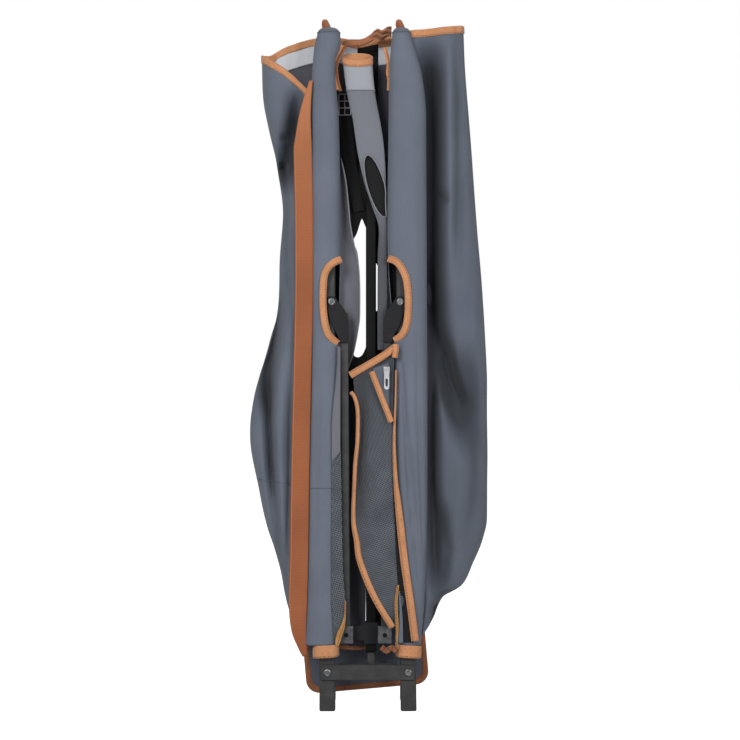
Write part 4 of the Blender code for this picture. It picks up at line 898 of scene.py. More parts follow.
def sleeve(side, word):
    """The cloth cover over one upright, with a rounded cap, a window cut in its inner edge and seams."""
    cap = 0.93

    def place(u, v):
        if v < cap:
            z = SLEEVE_LOW + (SLEEVE_TOP - 0.0015 - SLEEVE_LOW) * v / cap
            return sleeve_point(side, u, z)
        turn = (v - cap) / (1 - cap) * math.pi / 2
        lift = (CAP_RISE + 0.0015) * math.sin(turn)
        shrink = max(0.02, math.cos(turn)) ** 0.75
        return sleeve_point(side, u, SLEEVE_TOP - 0.0015, shrink, lift)

    data = draped(place, 96, 330, closed=True)
    for face in list(data.faces):
        centre = face.calc_center_median()
        if centre.y < UPRIGHT_PLANE + 0.004 and in_window(side, centre.x, centre.z):
            data.faces.remove(face)
    bmesh.ops.delete(data, geom=[v for v in data.verts if not v.link_faces], context="VERTS")
    cap_edges = [e for e in data.edges if e.is_boundary and e.verts[0].co.z > SLEEVE_TOP + 0.002]
    bmesh.ops.holes_fill(data, edges=cap_edges, sides=200)
    bmesh.ops.recalc_face_normals(data, faces=data.faces)
    probe = min(data.faces, key=lambda f: (f.calc_center_median() - at(side * 0.06, -0.019, 0.3)).length)
    if probe.normal.y > 0:
        bmesh.ops.reverse_faces(data, faces=data.faces)
    # The inner face takes near-black cloth: painted shade inside the sleeve, seen through the window.
    piece = finish_piece(
        f"{word}_sleeve_cover", data, [SLATE, BLACK_CLOTH_AND_SHADE], f"{word}_wing", wall=CLOTH,
        lined=True,
        replaced=(f"{word}_sleeve",),
    )
    window_binding(side, word)
    sleeve_seams(side, word)
    sleeve_hem(side, word)
    tip_loop(word)


def window_binding(side, word):
    """Tape round the window's edge, lying on the sleeve."""
    line = []
    for x, z in WINDOW[side]:
        face = max(-SLEEVE_HALF_DEPTH, sleeve_face(side, x, z))
        line.append(at(x, min(face, -0.0120) - 0.0010, z))
    tape(
        f"{word}_window_tape", line, TAPE_WIDTH, COPPER, f"{word}_wing", crown=0.0010, steps=90,
        replaced=(f"{word}_window_binding",),
    )


def sleeve_seams(side, word):
    """The seam under the cap, and the one across the left sleeve."""
    seams = [("cap", SLEEVE_TOP + 0.0005, 0.26, 0.74)]
    if side == LEFT:
        seams.append(("cross", 0.3115, 0.36, 0.80))
    for label, z, start, end in seams:
        line = [sleeve_point(side, start + (end - start) * i / 16, z, 1.012) for i in range(17)]
        thread(
            f"{word}_sleeve_{label}_seam", line, SEAM_THREAD, SLATE_DARK, f"{word}_wing", steps=48,
        )


def sleeve_hem(side, word):
    """The bound lower end of a sleeve."""
    low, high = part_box(f"{word}_sleeve_hem")
    low.z, high.z = HEM_LOW, HEM_LOW + HEM_HEIGHT
    middle = (low + high) / 2

    def place(u, v):
        t = 2 * v - 1
        a = 2 * math.pi * u + math.pi / 2
        c, s = math.cos(a), math.sin(a)
        bulge = 1.0 + 0.008 * (1 - t * t)
        slant = 0.0015 * side * c
        x = (high.x - low.x) / 2 * bulge * math.copysign(abs(c) ** 0.6, c)
        y = (high.y - low.y) / 2 * bulge * math.copysign(abs(s) ** 0.6, s)
        return Vector((middle.x - x, middle.y + y, middle.z + t * (high.z - low.z) / 2 + slant))

    data = draped(place, 72, 8, closed=True)
    bmesh.ops.recalc_face_normals(data, faces=data.faces)
    finish_piece(
        f"{word}_hem_tape", data, [COPPER], f"{word}_wing", wall=TAPE,
        replaced=(f"{word}_sleeve_hem",), middle=True,
    )


def tip_loop(word):
    """A short folded loop of tape sewn to the cap."""
    low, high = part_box(f"{word}_tip_loop")
    middle = (low + high) / 2
    turns = [
        (0.0035, 0, low.z - 0.002), (0.0020, 0, low.z + 0.006), (-0.0012, 0, high.z - 0.003),
        (-0.0030, 0.0006, high.z - 0.0002), (-0.0036, 0.0020, high.z - 0.004), (-0.0020, 0.0022, low.z),
    ]
    line = [Vector((middle.x + x, middle.y + y, z)) for x, y, z in turns]
    tape(
        f"{word}_tip_tape", line, 0.0082, DARK_COPPER_AND_SHADE, f"{word}_wing", crown=0.0008, steps=40, facing=(0.3, -1, 0),
        replaced=(f"{word}_tip_loop",),
    )


# ---------------------------------------------------------------- body panels
def panel_section(side, z):
    """A body panel's section at one height, from the sleeve seam round the outer fold to the back."""
    fold = smooth_value(FOLD[side], z)
    seam = sleeve_limits(side, z)[0] - 0.0012
    low = min(1.0, max(0.0, (z - PANEL_BOTTOM[side]) / 0.14))
    back = PANEL_BACK - 0.010 * (1 - low)
    end = smooth_value(BACK_END, z)
    front_mid = (seam + fold) / 2
    turn = min(0.011, 0.3 * (fold - seam))
    points = [
        (seam, -0.002), (front_mid, PANEL_FRONT), (fold - turn, PANEL_FRONT + 0.008),
        (fold, (PANEL_FRONT + back) / 2),
        (fold - turn, back - 0.006), (front_mid, back), ((front_mid + end) / 2, back + 0.001),
        (end, back - 0.002),
    ]
    return [Vector((side * x, y, z)) for x, y in points]


def panel_top(side, share):
    return smooth_value(MOUTH[side], share)


def panel_point(side, share, z, push=0.0):
    """A point of a body panel with its folds; push moves it outwards."""
    points = panel_section(side, z)
    p = smooth_line(points, share)
    ahead, behind = smooth_line(points, min(1, share + 0.01)), smooth_line(points, max(0, share - 0.01))
    along = ahead - behind
    out = Vector((along.y, -along.x, 0)) * side
    out.normalize()
    front = 1 - blend_in(0.30, 0.46, share)
    seam = blend_in(0.0, 0.014, share)
    top = panel_top(side, share)
    relief = pressed(CREASES[side], p.x, z) * (1 - 0.85 * blend_in(top - 0.045, top - 0.004, z))
    sag = 0.0024 * ripple(p.x + 0.4 * p.y, z, 6.0, 21.0 + side)
    sag += 0.0012 * ripple(2.2 * p.x + p.y, z, 3.0, 5.0 + side)
    p.y += relief * front * seam
    p += out * (sag * seam + push)
    return at(p.x, p.y, z)


def panel_painted_shade(side, share, z):
    """How much painted shade a point of a body panel takes, from 0 to 1: more the deeper it lies in a crease,
    plus a broad painted shade over the right panel, fading out towards the back layer.
    """
    x = smooth_line(panel_section(side, z), share).x
    top = panel_top(side, share)
    relief = pressed(CREASES[side], x, z) * (1 - blend_in(top - 0.075, top - 0.010, z))
    shade = 0.12 + 0.14 * blend_in(0.62, 0.42, z) * blend_in(0.10, 0.30, z) if side == RIGHT else 0.0
    return min(1.0, max(0.0, relief / 0.024) + shade) * (1 - blend_in(0.42, 0.56, share))


def panel_heights(side, share, v, top_drop):
    low = PANEL_BOTTOM[side]
    high = panel_top(side, share) - top_drop
    return low + (high - low) * v


def body_panel(side, word):
    """A side panel of the bag: slate outside, with a pale facing inside the mouth."""
    def place(u, v):
        return panel_point(side, u, panel_heights(side, u, v, 0.0008))

    def below_top(u, v):
        return -(1 - v) * (panel_top(side, u) - PANEL_BOTTOM[side])

    # Painted shade for the panel's colour, deeper in the creases.
    def painted_shade(u, v):
        return panel_painted_shade(side, u, panel_heights(side, u, v, 0.0008))

    data = draped(place, 170, 300, flip=side == LEFT, below_top=below_top, painted_shade=painted_shade)
    piece = finish_piece(
        f"{word}_panel_cloth", data, [SLATE_PANEL, PANEL_LINING], None, wall=CLOTH, lined=True,
        replaced=(f"{word}_body_panel",),
    )
    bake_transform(piece)

    def around(u, v):
        t = 2 * v - 1
        z = panel_top(side, u) - TAPE_WIDTH * max(0.0, abs(t) - 0.1) / 0.9
        z += 0.0006 * (1 - min(1.0, abs(t) / 0.1))
        flutter = 0.0006 * math.sin(34 * u + 2 * side) + 0.0004 * math.sin(81 * u)
        push = math.copysign(min(1.0, abs(t) / 0.1), -t) * (CLOTH / 2 + 0.0006)
        return panel_point(side, u, z, push - CLOTH / 2 + flutter)

    data = draped(around, 150, 14, flip=side == RIGHT)
    binding = finish_piece(
        f"{word}_mouth_tape", data, [COPPER], None, wall=TAPE,
        replaced=(f"{word}_mouth_binding",), middle=True,
    )
    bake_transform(binding)


def facing_piping(side, word):
    """White piping along the lower edge of the facing inside the mouth."""
    line = []
    for i in range(13):
        share = 0.50 + 0.36 * i / 12
        line.append(panel_point(side, share, panel_top(side, share) - 0.0345, -CLOTH - 0.0012))
    piece = thread(f"{word}_facing_piping", line, 0.0009, PALE_CORD, None, steps=48)
    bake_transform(piece)


def panel_seam():
    """The cross seam of the left panel."""
    line = []
    for i in range(13):
        share = 0.04 + 0.36 * i / 12
        line.append(panel_point(LEFT, share, 0.3160 + 0.018 * share, 0.0002))
    thread("left_panel_cross_seam", line, SEAM_THREAD, SLATE_DARK, "left_wing", steps=60)


# ---------------------------------------------------------------- strap
def shoulder_strap():
    """Webbing down the left panel beside the sleeve; its upper end is folded in under the sleeve's edge."""
    low_z, high_z = STRAP[0][0], STRAP[-1][0]

    def place(u, v):
        z = low_z + (high_z - low_z) * v
        left = smooth_value([(row[0], row[1]) for row in STRAP], z)
        right = smooth_value([(row[0], row[2]) for row in STRAP], z)
        t = 2 * u - 1
        sag = 0.0006 * ripple(0.2, z, 2.0, 4.0)
        depth = -0.0148 - 0.0046 * blend_in(0.76, 0.82, z) + 0.0030 * blend_in(0.14, 0.08, z)
        depth += 0.0012 * t * t + sag
        return at(left + (right - left) * u, depth, z)

    data = draped(place, 12, 260)
    piece = finish_piece(
        "shoulder_strap_webbing", data, [WEBBING], "left_wing", wall=0.0018,
        replaced=("shoulder_strap",), middle=True,
    )


# ---------------------------------------------------------------- inside the bag
def divider():
    """The rolled grey divider that falls from the mouth, with an oval opening low on its front."""
    opening_centre, opening_size = Vector((0.0118, 0.0, 0.7330)), (0.0122, 0.0450)
    lean = math.radians(16)

    def limits(z):
        left = smooth_value([(row[0], row[1]) for row in DIVIDER], z)
        right = smooth_value([(row[0], row[2]) for row in DIVIDER], z)
        return left, right

    def ring(u, z, grow=0.0):
        left, right = limits(z)
        half_depth = 0.0021 + 0.0075 * blend_in(0.800, 0.905, z)
        centre_depth = -0.0010 + 0.0040 * blend_in(0.800, 0.905, z)
        a = 2 * math.pi * u + math.pi / 2
        c, s = math.cos(a), math.sin(a)
        x = ((right - left) / 2 + grow) * math.copysign(abs(c) ** 0.8, c)
        y = (half_depth + grow) * math.copysign(abs(s) ** 0.8, s)
        x_world = (left + right) / 2 - x
        rise = 0.006 * s * blend_in(0.86, 0.91, z)
        return at(x_world, centre_depth + y + 0.0008 * ripple(x_world, z, 4.0, 31.0), z + rise)

    top = 0.9145
    low = DIVIDER[0][0]

    def place(u, v):
        return ring(u, low + (top - low) * v)

    def below_top(u, v):
        return -(1 - v) * (top - low)

    # Painted shade: the divider's colour darkens towards its lower end.
    def painted_shade(u, v):
        z = low + (top - low) * v
        return 0.62 * (1 - blend_in(0.640, 0.730, z))

    def in_opening(p):
        dx, dz = p.x - opening_centre.x, p.z - opening_centre.z
        across = dx * math.cos(lean) + dz * math.sin(lean)
        up = -dx * math.sin(lean) + dz * math.cos(lean)
        return (across / opening_size[0]) ** 2 + (up / opening_size[1]) ** 2 < 1

    data = draped(place, 64, 220, closed=True, below_top=below_top, painted_shade=painted_shade)
    for face in list(data.faces):
        p = face.calc_center_median()
        if p.y < UPRIGHT_PLANE - 0.0008 and in_opening(p):
            data.faces.remove(face)
    bmesh.ops.delete(data, geom=[v for v in data.verts if not v.link_faces], context="VERTS")
    bmesh.ops.recalc_face_normals(data, faces=data.faces)
    probe = min(data.faces, key=lambda f: (f.calc_center_median() - at(-0.01, -0.006, 0.88)).length)
    if probe.normal.y > 0:
        bmesh.ops.reverse_faces(data, faces=data.faces)
    # The inner face takes near-black cloth: painted shade inside the roll, seen through the opening.
    piece = finish_piece(
        "divider_cloth", data, [DIVIDER_CLOTH, BLACK_CLOTH_AND_SHADE], "right_wing", wall=0.0009,
        lined=True,
        replaced=("divider_sleeve",),
    )

    def around(u, v):
        t = 2 * v - 1
        z = top + 0.0006 - TAPE_WIDTH * max(0.0, abs(t) - 0.1) / 0.9
        grow = math.copysign(min(1.0, abs(t) / 0.1), -t) * 0.0011 - 0.0004
        return ring(u, z, grow)

    data = draped(around, 64, 12, closed=True)
    bmesh.ops.recalc_face_normals(data, faces=data.faces)
    finish_piece(
        "divider_rim_tape", data, [COPPER], "right_wing", wall=TAPE,
        replaced=("divider_binding",), middle=True,
    )
    line = []
    for i in range(25):
        a = 2 * math.pi * i / 24
        across, up = opening_size[0] * math.cos(a), opening_size[1] * math.sin(a)
        x = opening_centre.x + across * math.cos(lean) - up * math.sin(lean)
        z = opening_centre.z + across * math.sin(lean) + up * math.cos(lean)
        left, right = limits(z)
        x = min(right - 0.0005, max(left + 0.0005, x))
        line.append(at(x, -0.0040, z))
    thread("divider_opening_piping", line, 0.0009, GREY_CORD, "right_wing", steps=96)
    seam = [ring(0.28 + 0.44 * i / 10, 0.8675, 0.0006) for i in range(11)]
    thread("divider_facing_piping", seam, PIPING, GREY_CORD, "right_wing", steps=40)


def left_inner():
    """The grey lining behind the left stay, and the strip of mesh and lining in front of the sleeve."""
    low, high = LINING_EDGE[0][0], LINING_EDGE[-1][0]

    def place(u, v):
        z = low + (high - low) * v
        right = smooth_value(LINING_EDGE, z)
        left = -0.0405
        bend = math.sin(math.pi * u) * 0.0045
        depth = 0.0170 - 0.0110 * u + bend + 0.0015 * ripple(u * 0.03, z, 3.0, 51.0)
        return at(left + (right - left) * u, depth, z)

    data = draped(place, 24, 120)
    piece = finish_piece(
        "left_lining_cloth", data, [LINING, BLACK_CLOTH_AND_SHADE], "left_wing", wall=0.0009, lined=True,
        replaced=("left_lining",),
    )
    edge = [
        at(smooth_value(LINING_EDGE, z), 0.0056, z)
        for z in (0.545, 0.58, 0.62, 0.65, 0.68, 0.71, 0.74, 0.768)
    ]
    thread("left_lining_piping", edge, PIPING, GREY_CORD, "left_wing", steps=60)

    def strip(u, v):
        z = 0.100 + 0.266 * v
        left = -0.0500 + 0.0030 * blend_in(0.16, 0.11, z)
        right = smooth_value(
            [(0.100, -0.0430), (0.121, -0.0350), (0.150, -0.0315), (0.20, -0.0345), (0.366, -0.0375)], z,
        )
        return at(
            left + (right - left) * u, -0.0204 + 0.0014 * u + 0.0008 * ripple(u * 0.05, z, 2.0, 61.0), z,
        )

    data = draped(strip, 12, 90)
    piece = finish_piece(
        "left_mesh_strip", data, [NET], "left_wing", wall=NET_CLOTH,
        replaced=("left_mesh_panel",), middle=True,
    )

    def grey(u, v):
        z = 0.362 + 0.146 * v
        left = -0.0500 + 0.0080 * blend_in(0.40, 0.50, z)
        right = -0.0380
        fall = -0.014 * (1 - u) * (1 - v)
        return at(left + (right - left) * u, -0.0218 + 0.0010 * u, z + fall)

    data = draped(grey, 10, 50)
    piece = finish_piece(
        "left_strip_lining", data, [LINING], "left_wing", wall=NET_CLOTH, middle=True,
    )
    hook = [
        at(-0.0310, -0.0222, 0.156), at(-0.0316, -0.0222, 0.136), at(-0.0345, -0.0222, 0.121),
        at(-0.0395, -0.0222, 0.108),
        at(-0.0425, -0.0220, 0.094),
    ]

    def hook_width(share):
        return 0.0015 + 0.0062 * blend_in(0.15, 0.75, share) * (1 - 0.5 * blend_in(0.85, 1.0, share))

    tape("left_mesh_tape", hook, hook_width, MUSTARD, "left_wing", steps=40, replaced=("left_mesh_binding",))


def inner_mouth_tapes():
    """Tape on the sleeves' inner mouth edges."""
    left = [
        (-0.0350, 0.930), (-0.0430, 0.916), (-0.0475, 0.904), (-0.0480, 0.894), (-0.0460, 0.880),
        (-0.0425, 0.867),
    ]
    tape("left_throat_tape", [at(x, -0.0060, z) for x, z in left], 0.0042, COPPER, "left_wing", steps=50)
    tape(
        "left_throat_lining_tape", [at(x + 0.0042, -0.0030, z - 0.001) for x, z in left], 0.0042, DARK_COPPER_AND_SHADE,
        "left_wing", steps=50,
    )
    right = [
        (0.0235, 0.927), (0.0270, 0.915), (0.0290, 0.903), (0.0282, 0.892), (0.0300, 0.881), (0.0292, 0.867),
    ]
    tape(
        "right_throat_tape", [at(x, -0.0010, z) for x, z in right], 0.0052, COPPER, "right_wing", steps=60,
        wave=0.0008,
    )


def back_panel():
    """The dark panel behind the mouth with its bound top, and the webbing that ties it to the post."""
    low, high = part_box("back_panel")
    middle = (low.y + high.y) / 2 - UPRIGHT_PLANE

    def top(x):
        return smooth_value([(-0.036, 0.9410), (-0.020, 0.9445), (0.012, 0.9510), (0.034, 0.9540)], x)

    def hangs_to(x):
        return smooth_value(
            [
                (-0.036, 0.640), (-0.0165, 0.667), (-0.0085, 0.6900), (-0.0060, 0.6850), (0.0040, 0.660),
                (0.0120, 0.627), (0.034, 0.600),
            ],
            x,
        )

    def place(u, v):
        x = low.x + (high.x - low.x) * u
        z = hangs_to(x) + (top(x) - 0.001 - hangs_to(x)) * v
        drop = (0.026 - middle) * blend_in(0.80, 0.74, z)
        return at(x, middle + drop + 0.0015 * ripple(x, z, 2.0, 71.0), z)

    data = draped(place, 40, 110)
    piece = finish_piece(
        "back_panel_cloth", data, [BLACK_CLOTH_AND_SHADE], "base_frame", wall=CLOTH, middle=True,
        replaced=("back_panel",),
    )

    def around(u, v):
        t = 2 * v - 1
        x = low.x + (high.x - low.x) * u
        z = top(x) - TAPE_WIDTH * max(0.0, abs(t) - 0.1) / 0.9
        push = math.copysign(min(1.0, abs(t) / 0.1), t) * 0.0014
        return at(x, middle + push + 0.0015 * ripple(x, z, 2.0, 71.0), z)

    data = draped(around, 30, 12)
    bmesh.ops.recalc_face_normals(data, faces=data.faces)
    finish_piece(
        "back_hem_tape", data, [COPPER], "base_frame", wall=TAPE,
        replaced=("back_panel_binding",), middle=True,
    )

    def bunch(u, v):
        t = 2 * v - 1
        x = -0.0345 + 0.0680 * u
        gather = blend_in(0.45, 0.75, u)
        z = 0.9325 + 0.0225 * u + 0.0028 * math.sin(9 * u + 1.0) + t * (0.0048 + 0.0022 * gather)
        z -= 0.0040 * gather * math.exp(-(((u - 0.80) / 0.07) ** 2))
        depth = 0.0215 - 0.0020 * (1 - t * t) - 0.0034 * gather * math.sin(6.0 * t + 21 * u)
        return at(x, depth, z)

    data = draped(bunch, 110, 24)
    finish_piece(
        "gathered_hem_tape", data, [SHADED_COPPER], "base_frame", wall=TAPE, middle=True,
    )
    line = [
        (-0.0325, 0.030, 0.869), (-0.0320, 0.030, 0.83), (-0.0250, 0.029, 0.77), (-0.0190, 0.0265, 0.735),
        (-0.0120, 0.0240, 0.700),
    ]
    tape(
        "back_webbing_strap", [at(*p) for p in line], 0.0180, BLACK_CLOTH_AND_SHADE, "base_frame", crown=0.0, steps=60,
        thickness=0.0016,
        replaced=("back_webbing",),
    )
    webbing_stitches()


def webbing_stitches():
    """The pale box stitching that holds the webbing to the back panel, three cells high and two wide."""
    left, right, bottom, peak = -0.0410, -0.0242, 0.8370, 0.8665
    for i in range(3):
        x = left + (right - left) * i / 2
        line = [at(x, 0.0278, z) for z in (bottom, (bottom + peak) / 2, peak)]
        thread(
            f"webbing_stitch_upright_{i}", line, STITCH_CORD, PALE_CORD, "base_frame", steps=12,
        )
    for i in range(4):
        z = bottom + (peak - bottom) * i / 3
        line = [at(x, 0.0274, z) for x in (left, (left + right) / 2, right)]
        thread(
            f"webbing_stitch_level_{i}", line, STITCH_CORD, PALE_CORD, "base_frame", steps=12,
        )


def lower_cloth():
    """Dark cloth gathered behind the post, between the lining and the pocket; its near-black colour is partly
    painted shade of the bag's deep inside.
    """
    def place(u, v):
        x = -0.0300 + 0.0520 * u
        low = smooth_value([(-0.030, 0.440), (0.0, 0.455), (0.022, 0.470)], x)
        high = smooth_value(
            [(-0.030, 0.505), (-0.014, 0.494), (-0.004, 0.505), (0.010, 0.556), (0.022, 0.560)], x,
        )
        z = low + (high - low) * v
        return at(x, 0.0235 + 0.0030 * ripple(x * 2, z, 1.5, 111.0), z)

    data = draped(place, 30, 50)
    piece = finish_piece(
        "lower_dark_cloth", data, [BLACK_CLOTH_AND_SHADE], "base_frame", wall=0.0009, middle=True,
    )


# ---------------------------------------------------------------- pocket
def pocket_depth(x):
    """The pocket lies in front of the right sleeve and drops back towards its free edge."""
    return POCKET_FACE + 0.008 * max(0.0, (0.004 - x) / 0.026) ** 1.5


def mesh_pocket():
    """A net pocket on the right sleeve's inner side, with bound edges."""
    def place(u, v):
        z_left = 0.121 + 0.349 * v
        z_right = 0.112 + 0.385 * v
        left = smooth_value(POCKET_EDGE, z_left) + 0.002
        right = smooth_value(POCKET_SEAM, z_right) - 0.001
        x = left + (right - left) * u
        z = z_left + (z_right - z_left) * u
        hollow = 0.0150 * math.exp(-(((u - 0.10) / 0.12) ** 2)) * blend_in(0.27, 0.33, z) * (
            1 - blend_in(0.41, 0.45, z)
        )
        belly = -0.0026 * math.sin(math.pi * u) * math.sin(math.pi * v)
        folds = 0.0030 * ripple(x * 1.6 + z * 0.5, z, 1.6, 81.0) + 0.0009 * ripple(x * 3.0 - z, z, 1.2, 84.0)
        rim = math.sin(math.pi * min(1, max(0, u))) ** 0.5
        return at(x, pocket_depth(x) + (hollow + belly + folds) * rim, z)

    # Painted shade for the net: darker in its hollow, along its top and bottom and down its right edge.
    def painted_shade(u, v):
        shade = 1.10 * math.exp(-(((u - 0.12) / 0.20) ** 2)) * blend_in(0.34, 0.48, v) + 0.30 * blend_in(
            0.72, 0.95, v,
        )
        shade += 0.55 * blend_in(0.88, 1.0, u) * (1 - blend_in(0.55, 0.75, v)) + 0.5 * (
            1 - blend_in(0.0, 0.16, v)
        )
        return min(1.0, shade)

    data = draped(place, 70, 170, painted_shade=painted_shade)
    piece = finish_piece(
        "mesh_pocket_net", data, [NET, BLACK_CLOTH_AND_SHADE], "right_wing", wall=NET_CLOTH, lined=True,
        replaced=("mesh_pocket",),
    )
    side = [(x, z) for z, x in POCKET_EDGE if z < 0.44] + [(-0.0190, 0.4370), (-0.0250, 0.4455)]
    line = [at(x + 0.0012, pocket_depth(x) - 0.0026, z) for x, z in side]

    def side_width(share):
        return 0.0050 + 0.0036 * (1 - blend_in(0.10, 0.55, share))

    tape(
        "pocket_edge_tape", line, side_width, COPPER, "right_wing", crown=0.0014, steps=110,
        replaced=("pocket_side_binding",), wave=0.0005,
    )
    seam = [(x - 0.0032, z) for z, x in POCKET_SEAM if z < 0.40] + [(0.0345, 0.440), (0.0350, 0.476)]
    line = [at(x + 0.004, -0.0232, z) for x, z in seam]

    def seam_width(share):
        return 0.0105 - 0.0085 * blend_in(0.30, 0.92, share)

    tape(
        "pocket_seam_tape", line, seam_width, COPPER, "right_wing", crown=0.0012, steps=110,
        replaced=("pocket_seam_binding",),
    )
    top = [
        (-0.0245, 0.4685), (-0.0110, 0.4765), (0.0040, 0.4850), (0.0180, 0.4935), (0.0300, 0.5015),
        (0.0375, 0.5080),
    ]
    line = [at(x, pocket_depth(x) - 0.0032, z) for x, z in top]
    tape(
        "pocket_top_tape", line, 0.0098, COPPER, "right_wing", crown=0.0012, steps=70,
        replaced=("pocket_top_binding",),
    )
    tab = [at(0.0385, -0.0262, 0.512), at(0.0388, -0.0268, 0.503), at(0.0372, -0.0262, 0.493)]
    tape("pocket_top_tab", tab, 0.0075, COPPER, "right_wing", crown=0.0010, steps=24)

    def gusset(u, v):
        z = 0.098 + 0.230 * v
        left = smooth_value([(0.098, 0.0455), (0.154, 0.0430), (0.210, 0.0400), (0.328, 0.0345)], z)
        right = smooth_value(POCKET_SEAM, z) - 0.002
        return at(left + (right - left) * u, -0.0226 + 0.0016 * math.sin(math.pi * u), z)

    data = draped(gusset, 12, 80)
    piece = finish_piece(
        "pocket_gusset", data, [BLACK_CLOTH_AND_SHADE], "right_wing", wall=0.0006, middle=True,
    )

    def sliver(u, v):
        z = 0.098 + 0.072 * v
        left = 0.0425 + 0.0015 * math.sin(3 * v)
        return at(left + 0.0065 * (1 - 0.75 * v) * u, -0.0240 - 0.0006 * math.sin(math.pi * u), z)

    data = draped(sliver, 8, 40)
    finish_piece("pocket_sliver_cloth", data, [SLATE], "right_wing", wall=0.0006, middle=True)
    ochre = [
        at(0.0420, -0.0246, 0.178), at(0.0392, -0.0250, 0.154), at(0.0408, -0.0252, 0.120),
        at(0.0402, -0.0250, 0.099), at(0.0435, -0.0246, 0.089),
    ]

    def thin(share):
        return 0.0014 + 0.0026 * math.sin(math.pi * min(1.0, share + 0.15))

    tape("right_hem_piping", ochre, thin, MUSTARD, "right_wing", steps=50, crown=0.0005)


def zip_panel():
    """The small panel with the zip beside the pocket, and its slanted bound edge."""
    low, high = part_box("zip_panel")
    face = (low.y + high.y) / 2 - UPRIGHT_PLANE

    def place(u, v):
        x_left = high.x - 0.001 + (low.x + 0.002 - high.x + 0.001) * v
        z_left = low.z + (0.4780 - low.z) * v
        z_right = low.z + (high.z - low.z) * v
        x = x_left + (high.x - x_left) * u
        return at(x, face + 0.0003 * ripple(x * 3, z_left, 1.0, 91.0), z_left + (z_right - z_left) * u)

    data = draped(place, 24, 40)
    piece = finish_piece(
        "zip_panel_cloth", data, [SLATE_DARK], "right_wing", wall=0.0010, middle=True,
        replaced=("zip_panel",),
    )
    line = [at(0.0325 - 0.0272 * t, face - 0.0018, 0.4040 + 0.0700 * t) for t in (0, 0.25, 0.5, 0.75, 1.0)]
    tape(
        "zip_edge_tape", line, 0.0078, COPPER, "right_wing", crown=0.0009, steps=60,
        replaced=("zip_panel_binding",),
    )
    data = bmesh.new()
    for i in range(34):
        z = 0.4200 + 0.0013 * i
        if 0.4705 < z < 0.4815:
            continue
        made = bmesh.ops.create_cube(data, size=1.0)["verts"]
        bmesh.ops.scale(data, vec=(0.0013, 0.0010, 0.0007), verts=made)
        bmesh.ops.translate(data, vec=at(high.x + 0.0003, face, z), verts=made)
    finish_piece("zip_teeth", data, [ZINC], "right_wing")


# ---------------------------------------------------------------- base board
def base_board():
    """The stiffened board behind the feet, with a rounded bound edge."""
    low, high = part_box("base_board_binding")
    middle = (low + high) / 2
    tilt = math.radians(5.0)
    half_x, half_z = 0.0880, 0.0482
    corner = 0.0190

    def outline(u, inset):
        """A rounded rectangle; u runs round it from the middle of the top."""
        r = corner - inset * 0.6
        a, b = half_x - inset, half_z - inset
        arc = r * math.pi / 2
        sides = [a - r, arc, 2 * (b - r), arc, 2 * (a - r), arc, 2 * (b - r), arc, a - r]
        reach = u * sum(sides)
        x, z, heading = 0.0, b, 0.0
        for k, length in enumerate(sides):
            step = min(reach, length)
            if k % 2:
                turn = step / r
                cx, cz = x + r * math.sin(heading), z - r * math.cos(heading)
                x = cx - r * math.sin(heading) * math.cos(turn) + r * math.cos(heading) * math.sin(turn)
                z = cz + r * math.cos(heading) * math.cos(turn) + r * math.sin(heading) * math.sin(turn)
                heading -= turn
            else:
                x, z = x + step * math.cos(heading), z + step * math.sin(heading)
            reach -= step
            if reach <= 1e-9:
                break
        return x, z

    def seat(x, z, depth):
        return Vector((
            middle.x + x * math.cos(tilt) - z * math.sin(tilt), middle.y + depth,
            middle.z + x * math.sin(tilt) + z * math.cos(tilt),
        ))

    def around(u, v):
        a = 2 * math.pi * v
        inset = 0.0047 * (1 - math.cos(a))
        x, z = outline(u, inset)
        return seat(x, z, -0.0034 * math.sin(a))

    data = draped(around, 160, 16, closed=True)
    bmesh.ops.recalc_face_normals(data, faces=data.faces)
    finish_piece(
        "base_board_tape", data, [DARK_COPPER_AND_SHADE], "base_frame", replaced=("base_board_binding",),
    )

    def sheet_point(u, v):
        x = (2 * u - 1) * (half_x - 0.0055)
        z = (2 * v - 1) * (half_z - 0.0055)
        r = corner - 0.004
        dx, dz = max(0.0, abs(x) - (half_x - 0.0055 - r)), max(0.0, abs(z) - (half_z - 0.0055 - r))
        reach = math.hypot(dx, dz)
        limit = max(dx, dz)
        if limit > 0 and reach > 0:
            scale = limit / reach
            x = math.copysign(abs(x) - dx + dx * scale, x)
            z = math.copysign(abs(z) - dz + dz * scale, z)
        return seat(x, z, -0.0022 + 0.0006 * ripple(x, z, 1.0, 101.0))

    data = draped(sheet_point, 60, 34)
    finish_piece(
        "base_board_cloth", data, [SLATE_DARK], "base_frame", wall=0.0040,
        replaced=("base_board",),
    )


def lower_ruffle():
    """Loose ends of tape behind the hems, at the foot of the post."""
    line = [at(-0.0400, 0.020, 0.0860), at(-0.0200, 0.022, 0.0830), at(0.0020, 0.024, 0.0850)]
    tape("foot_tape_end", line, 0.0050, DARK_COPPER_AND_SHADE, "base_frame", steps=30)
    line = [
        at(0.0190, -0.0160, 0.0905), at(0.0260, -0.0190, 0.0860), at(0.0330, -0.0200, 0.0900),
        at(0.0410, -0.0205, 0.0850),
    ]
    tape("right_hem_ruffle", line, 0.0075, DARK_COPPER_AND_SHADE, "right_wing", steps=50, wave=0.0012)


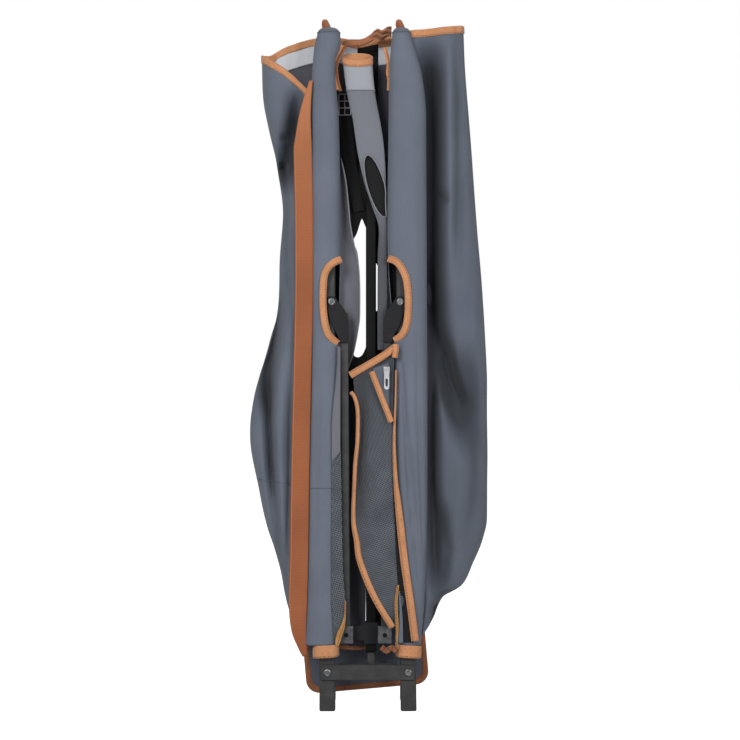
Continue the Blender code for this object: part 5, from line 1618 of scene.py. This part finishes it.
# ---------------------------------------------------------------- floor, light and camera
def stage():
    data = bmesh.new()
    bmesh.ops.create_grid(data, x_segments=1, y_segments=1, size=30.0)
    mesh = bpy.data.meshes.new("floor")
    data.to_mesh(mesh)
    data.free()
    made, tree, shader = start_material("pale_floor", 0.9)
    shader.inputs["Base Color"].default_value = (0.55, 0.55, 0.55, 1.0)
    shader.inputs["Emission Color"].default_value = (1.0, 1.0, 1.0, 1.0)
    looks = node(tree, "ShaderNodeLightPath")
    tree.links.new(
        sums(tree, "MULTIPLY", looks.outputs["Is Camera Ray"], 0.90), shader.inputs["Emission Strength"],
    )
    shader.inputs["Specular IOR Level"].default_value = 0.1
    mesh.materials.append(made)
    floor = bpy.data.objects.new("floor", mesh)
    bpy.context.scene.collection.objects.link(floor)
    world = bpy.data.worlds.new("studio")
    world.use_nodes = True
    bpy.context.scene.world = world
    tree = world.node_tree
    background = tree.nodes["Background"]
    background.inputs["Color"].default_value = (0.97, 0.985, 1.0, 1.0)
    background.inputs["Strength"].default_value = 0.30
    seen = node(tree, "ShaderNodeBackground")
    seen.inputs["Color"].default_value = (1.0, 1.0, 1.0, 1.0)
    seen.inputs["Strength"].default_value = 1.0
    choose = node(tree, "ShaderNodeMixShader")
    rays = node(tree, "ShaderNodeLightPath")
    tree.links.new(rays.outputs["Is Camera Ray"], choose.inputs[0])
    tree.links.new(background.outputs[0], choose.inputs[1])
    tree.links.new(seen.outputs[0], choose.inputs[2])
    tree.links.new(choose.outputs[0], tree.nodes["World Output"].inputs["Surface"])
    for label, place, power, size in (
        ("key", (-0.90, -2.00, 1.50), 34.0, 0.9), ("fill", (1.20, -1.90, 0.90), 20.0, 0.9),
        ("back", (0.2, 1.6, 1.9), 14.0, 1.4),
    ):
        lamp = bpy.data.lights.new(label, "AREA")
        lamp.energy = power
        lamp.size = size
        thing = bpy.data.objects.new(label, lamp)
        thing.location = place
        aim = Vector((0, 0, 0.5)) - Vector(place)
        thing.rotation_euler = aim.to_track_quat("-Z", "Y").to_euler()
        bpy.context.scene.collection.objects.link(thing)
    lens = bpy.data.cameras.new("camera")
    lens.lens = 85.0
    lens.sensor_width = 36.0
    camera = bpy.data.objects.new("camera", lens)
    camera.location = (0.0031, UPRIGHT_PLANE - 2.446, 0.4760)
    camera.rotation_euler = (math.pi / 2, 0, 0)
    bpy.context.scene.collection.objects.link(camera)
    bpy.context.scene.camera = camera
    bpy.context.scene.view_settings.view_transform = "Standard"


# ---------------------------------------------------------------- assembly
finish_frame()
zip_pull()
for side, word in SIDES:
    tubular_rivet(f"{word}_crossbar_rivet", "base_frame")
    tubular_rivet(f"{word}_stay_rivet", f"{word}_wing")
    pin_head(f"{word}_clip_pin", f"{word}_stay_arm")
    sleeve(side, word)
    body_panel(side, word)
    facing_piping(side, word)
panel_seam()
shoulder_strap()
divider()
left_inner()
inner_mouth_tapes()
back_panel()
lower_cloth()
mesh_pocket()
zip_panel()
base_board()
lower_ruffle()
stage()
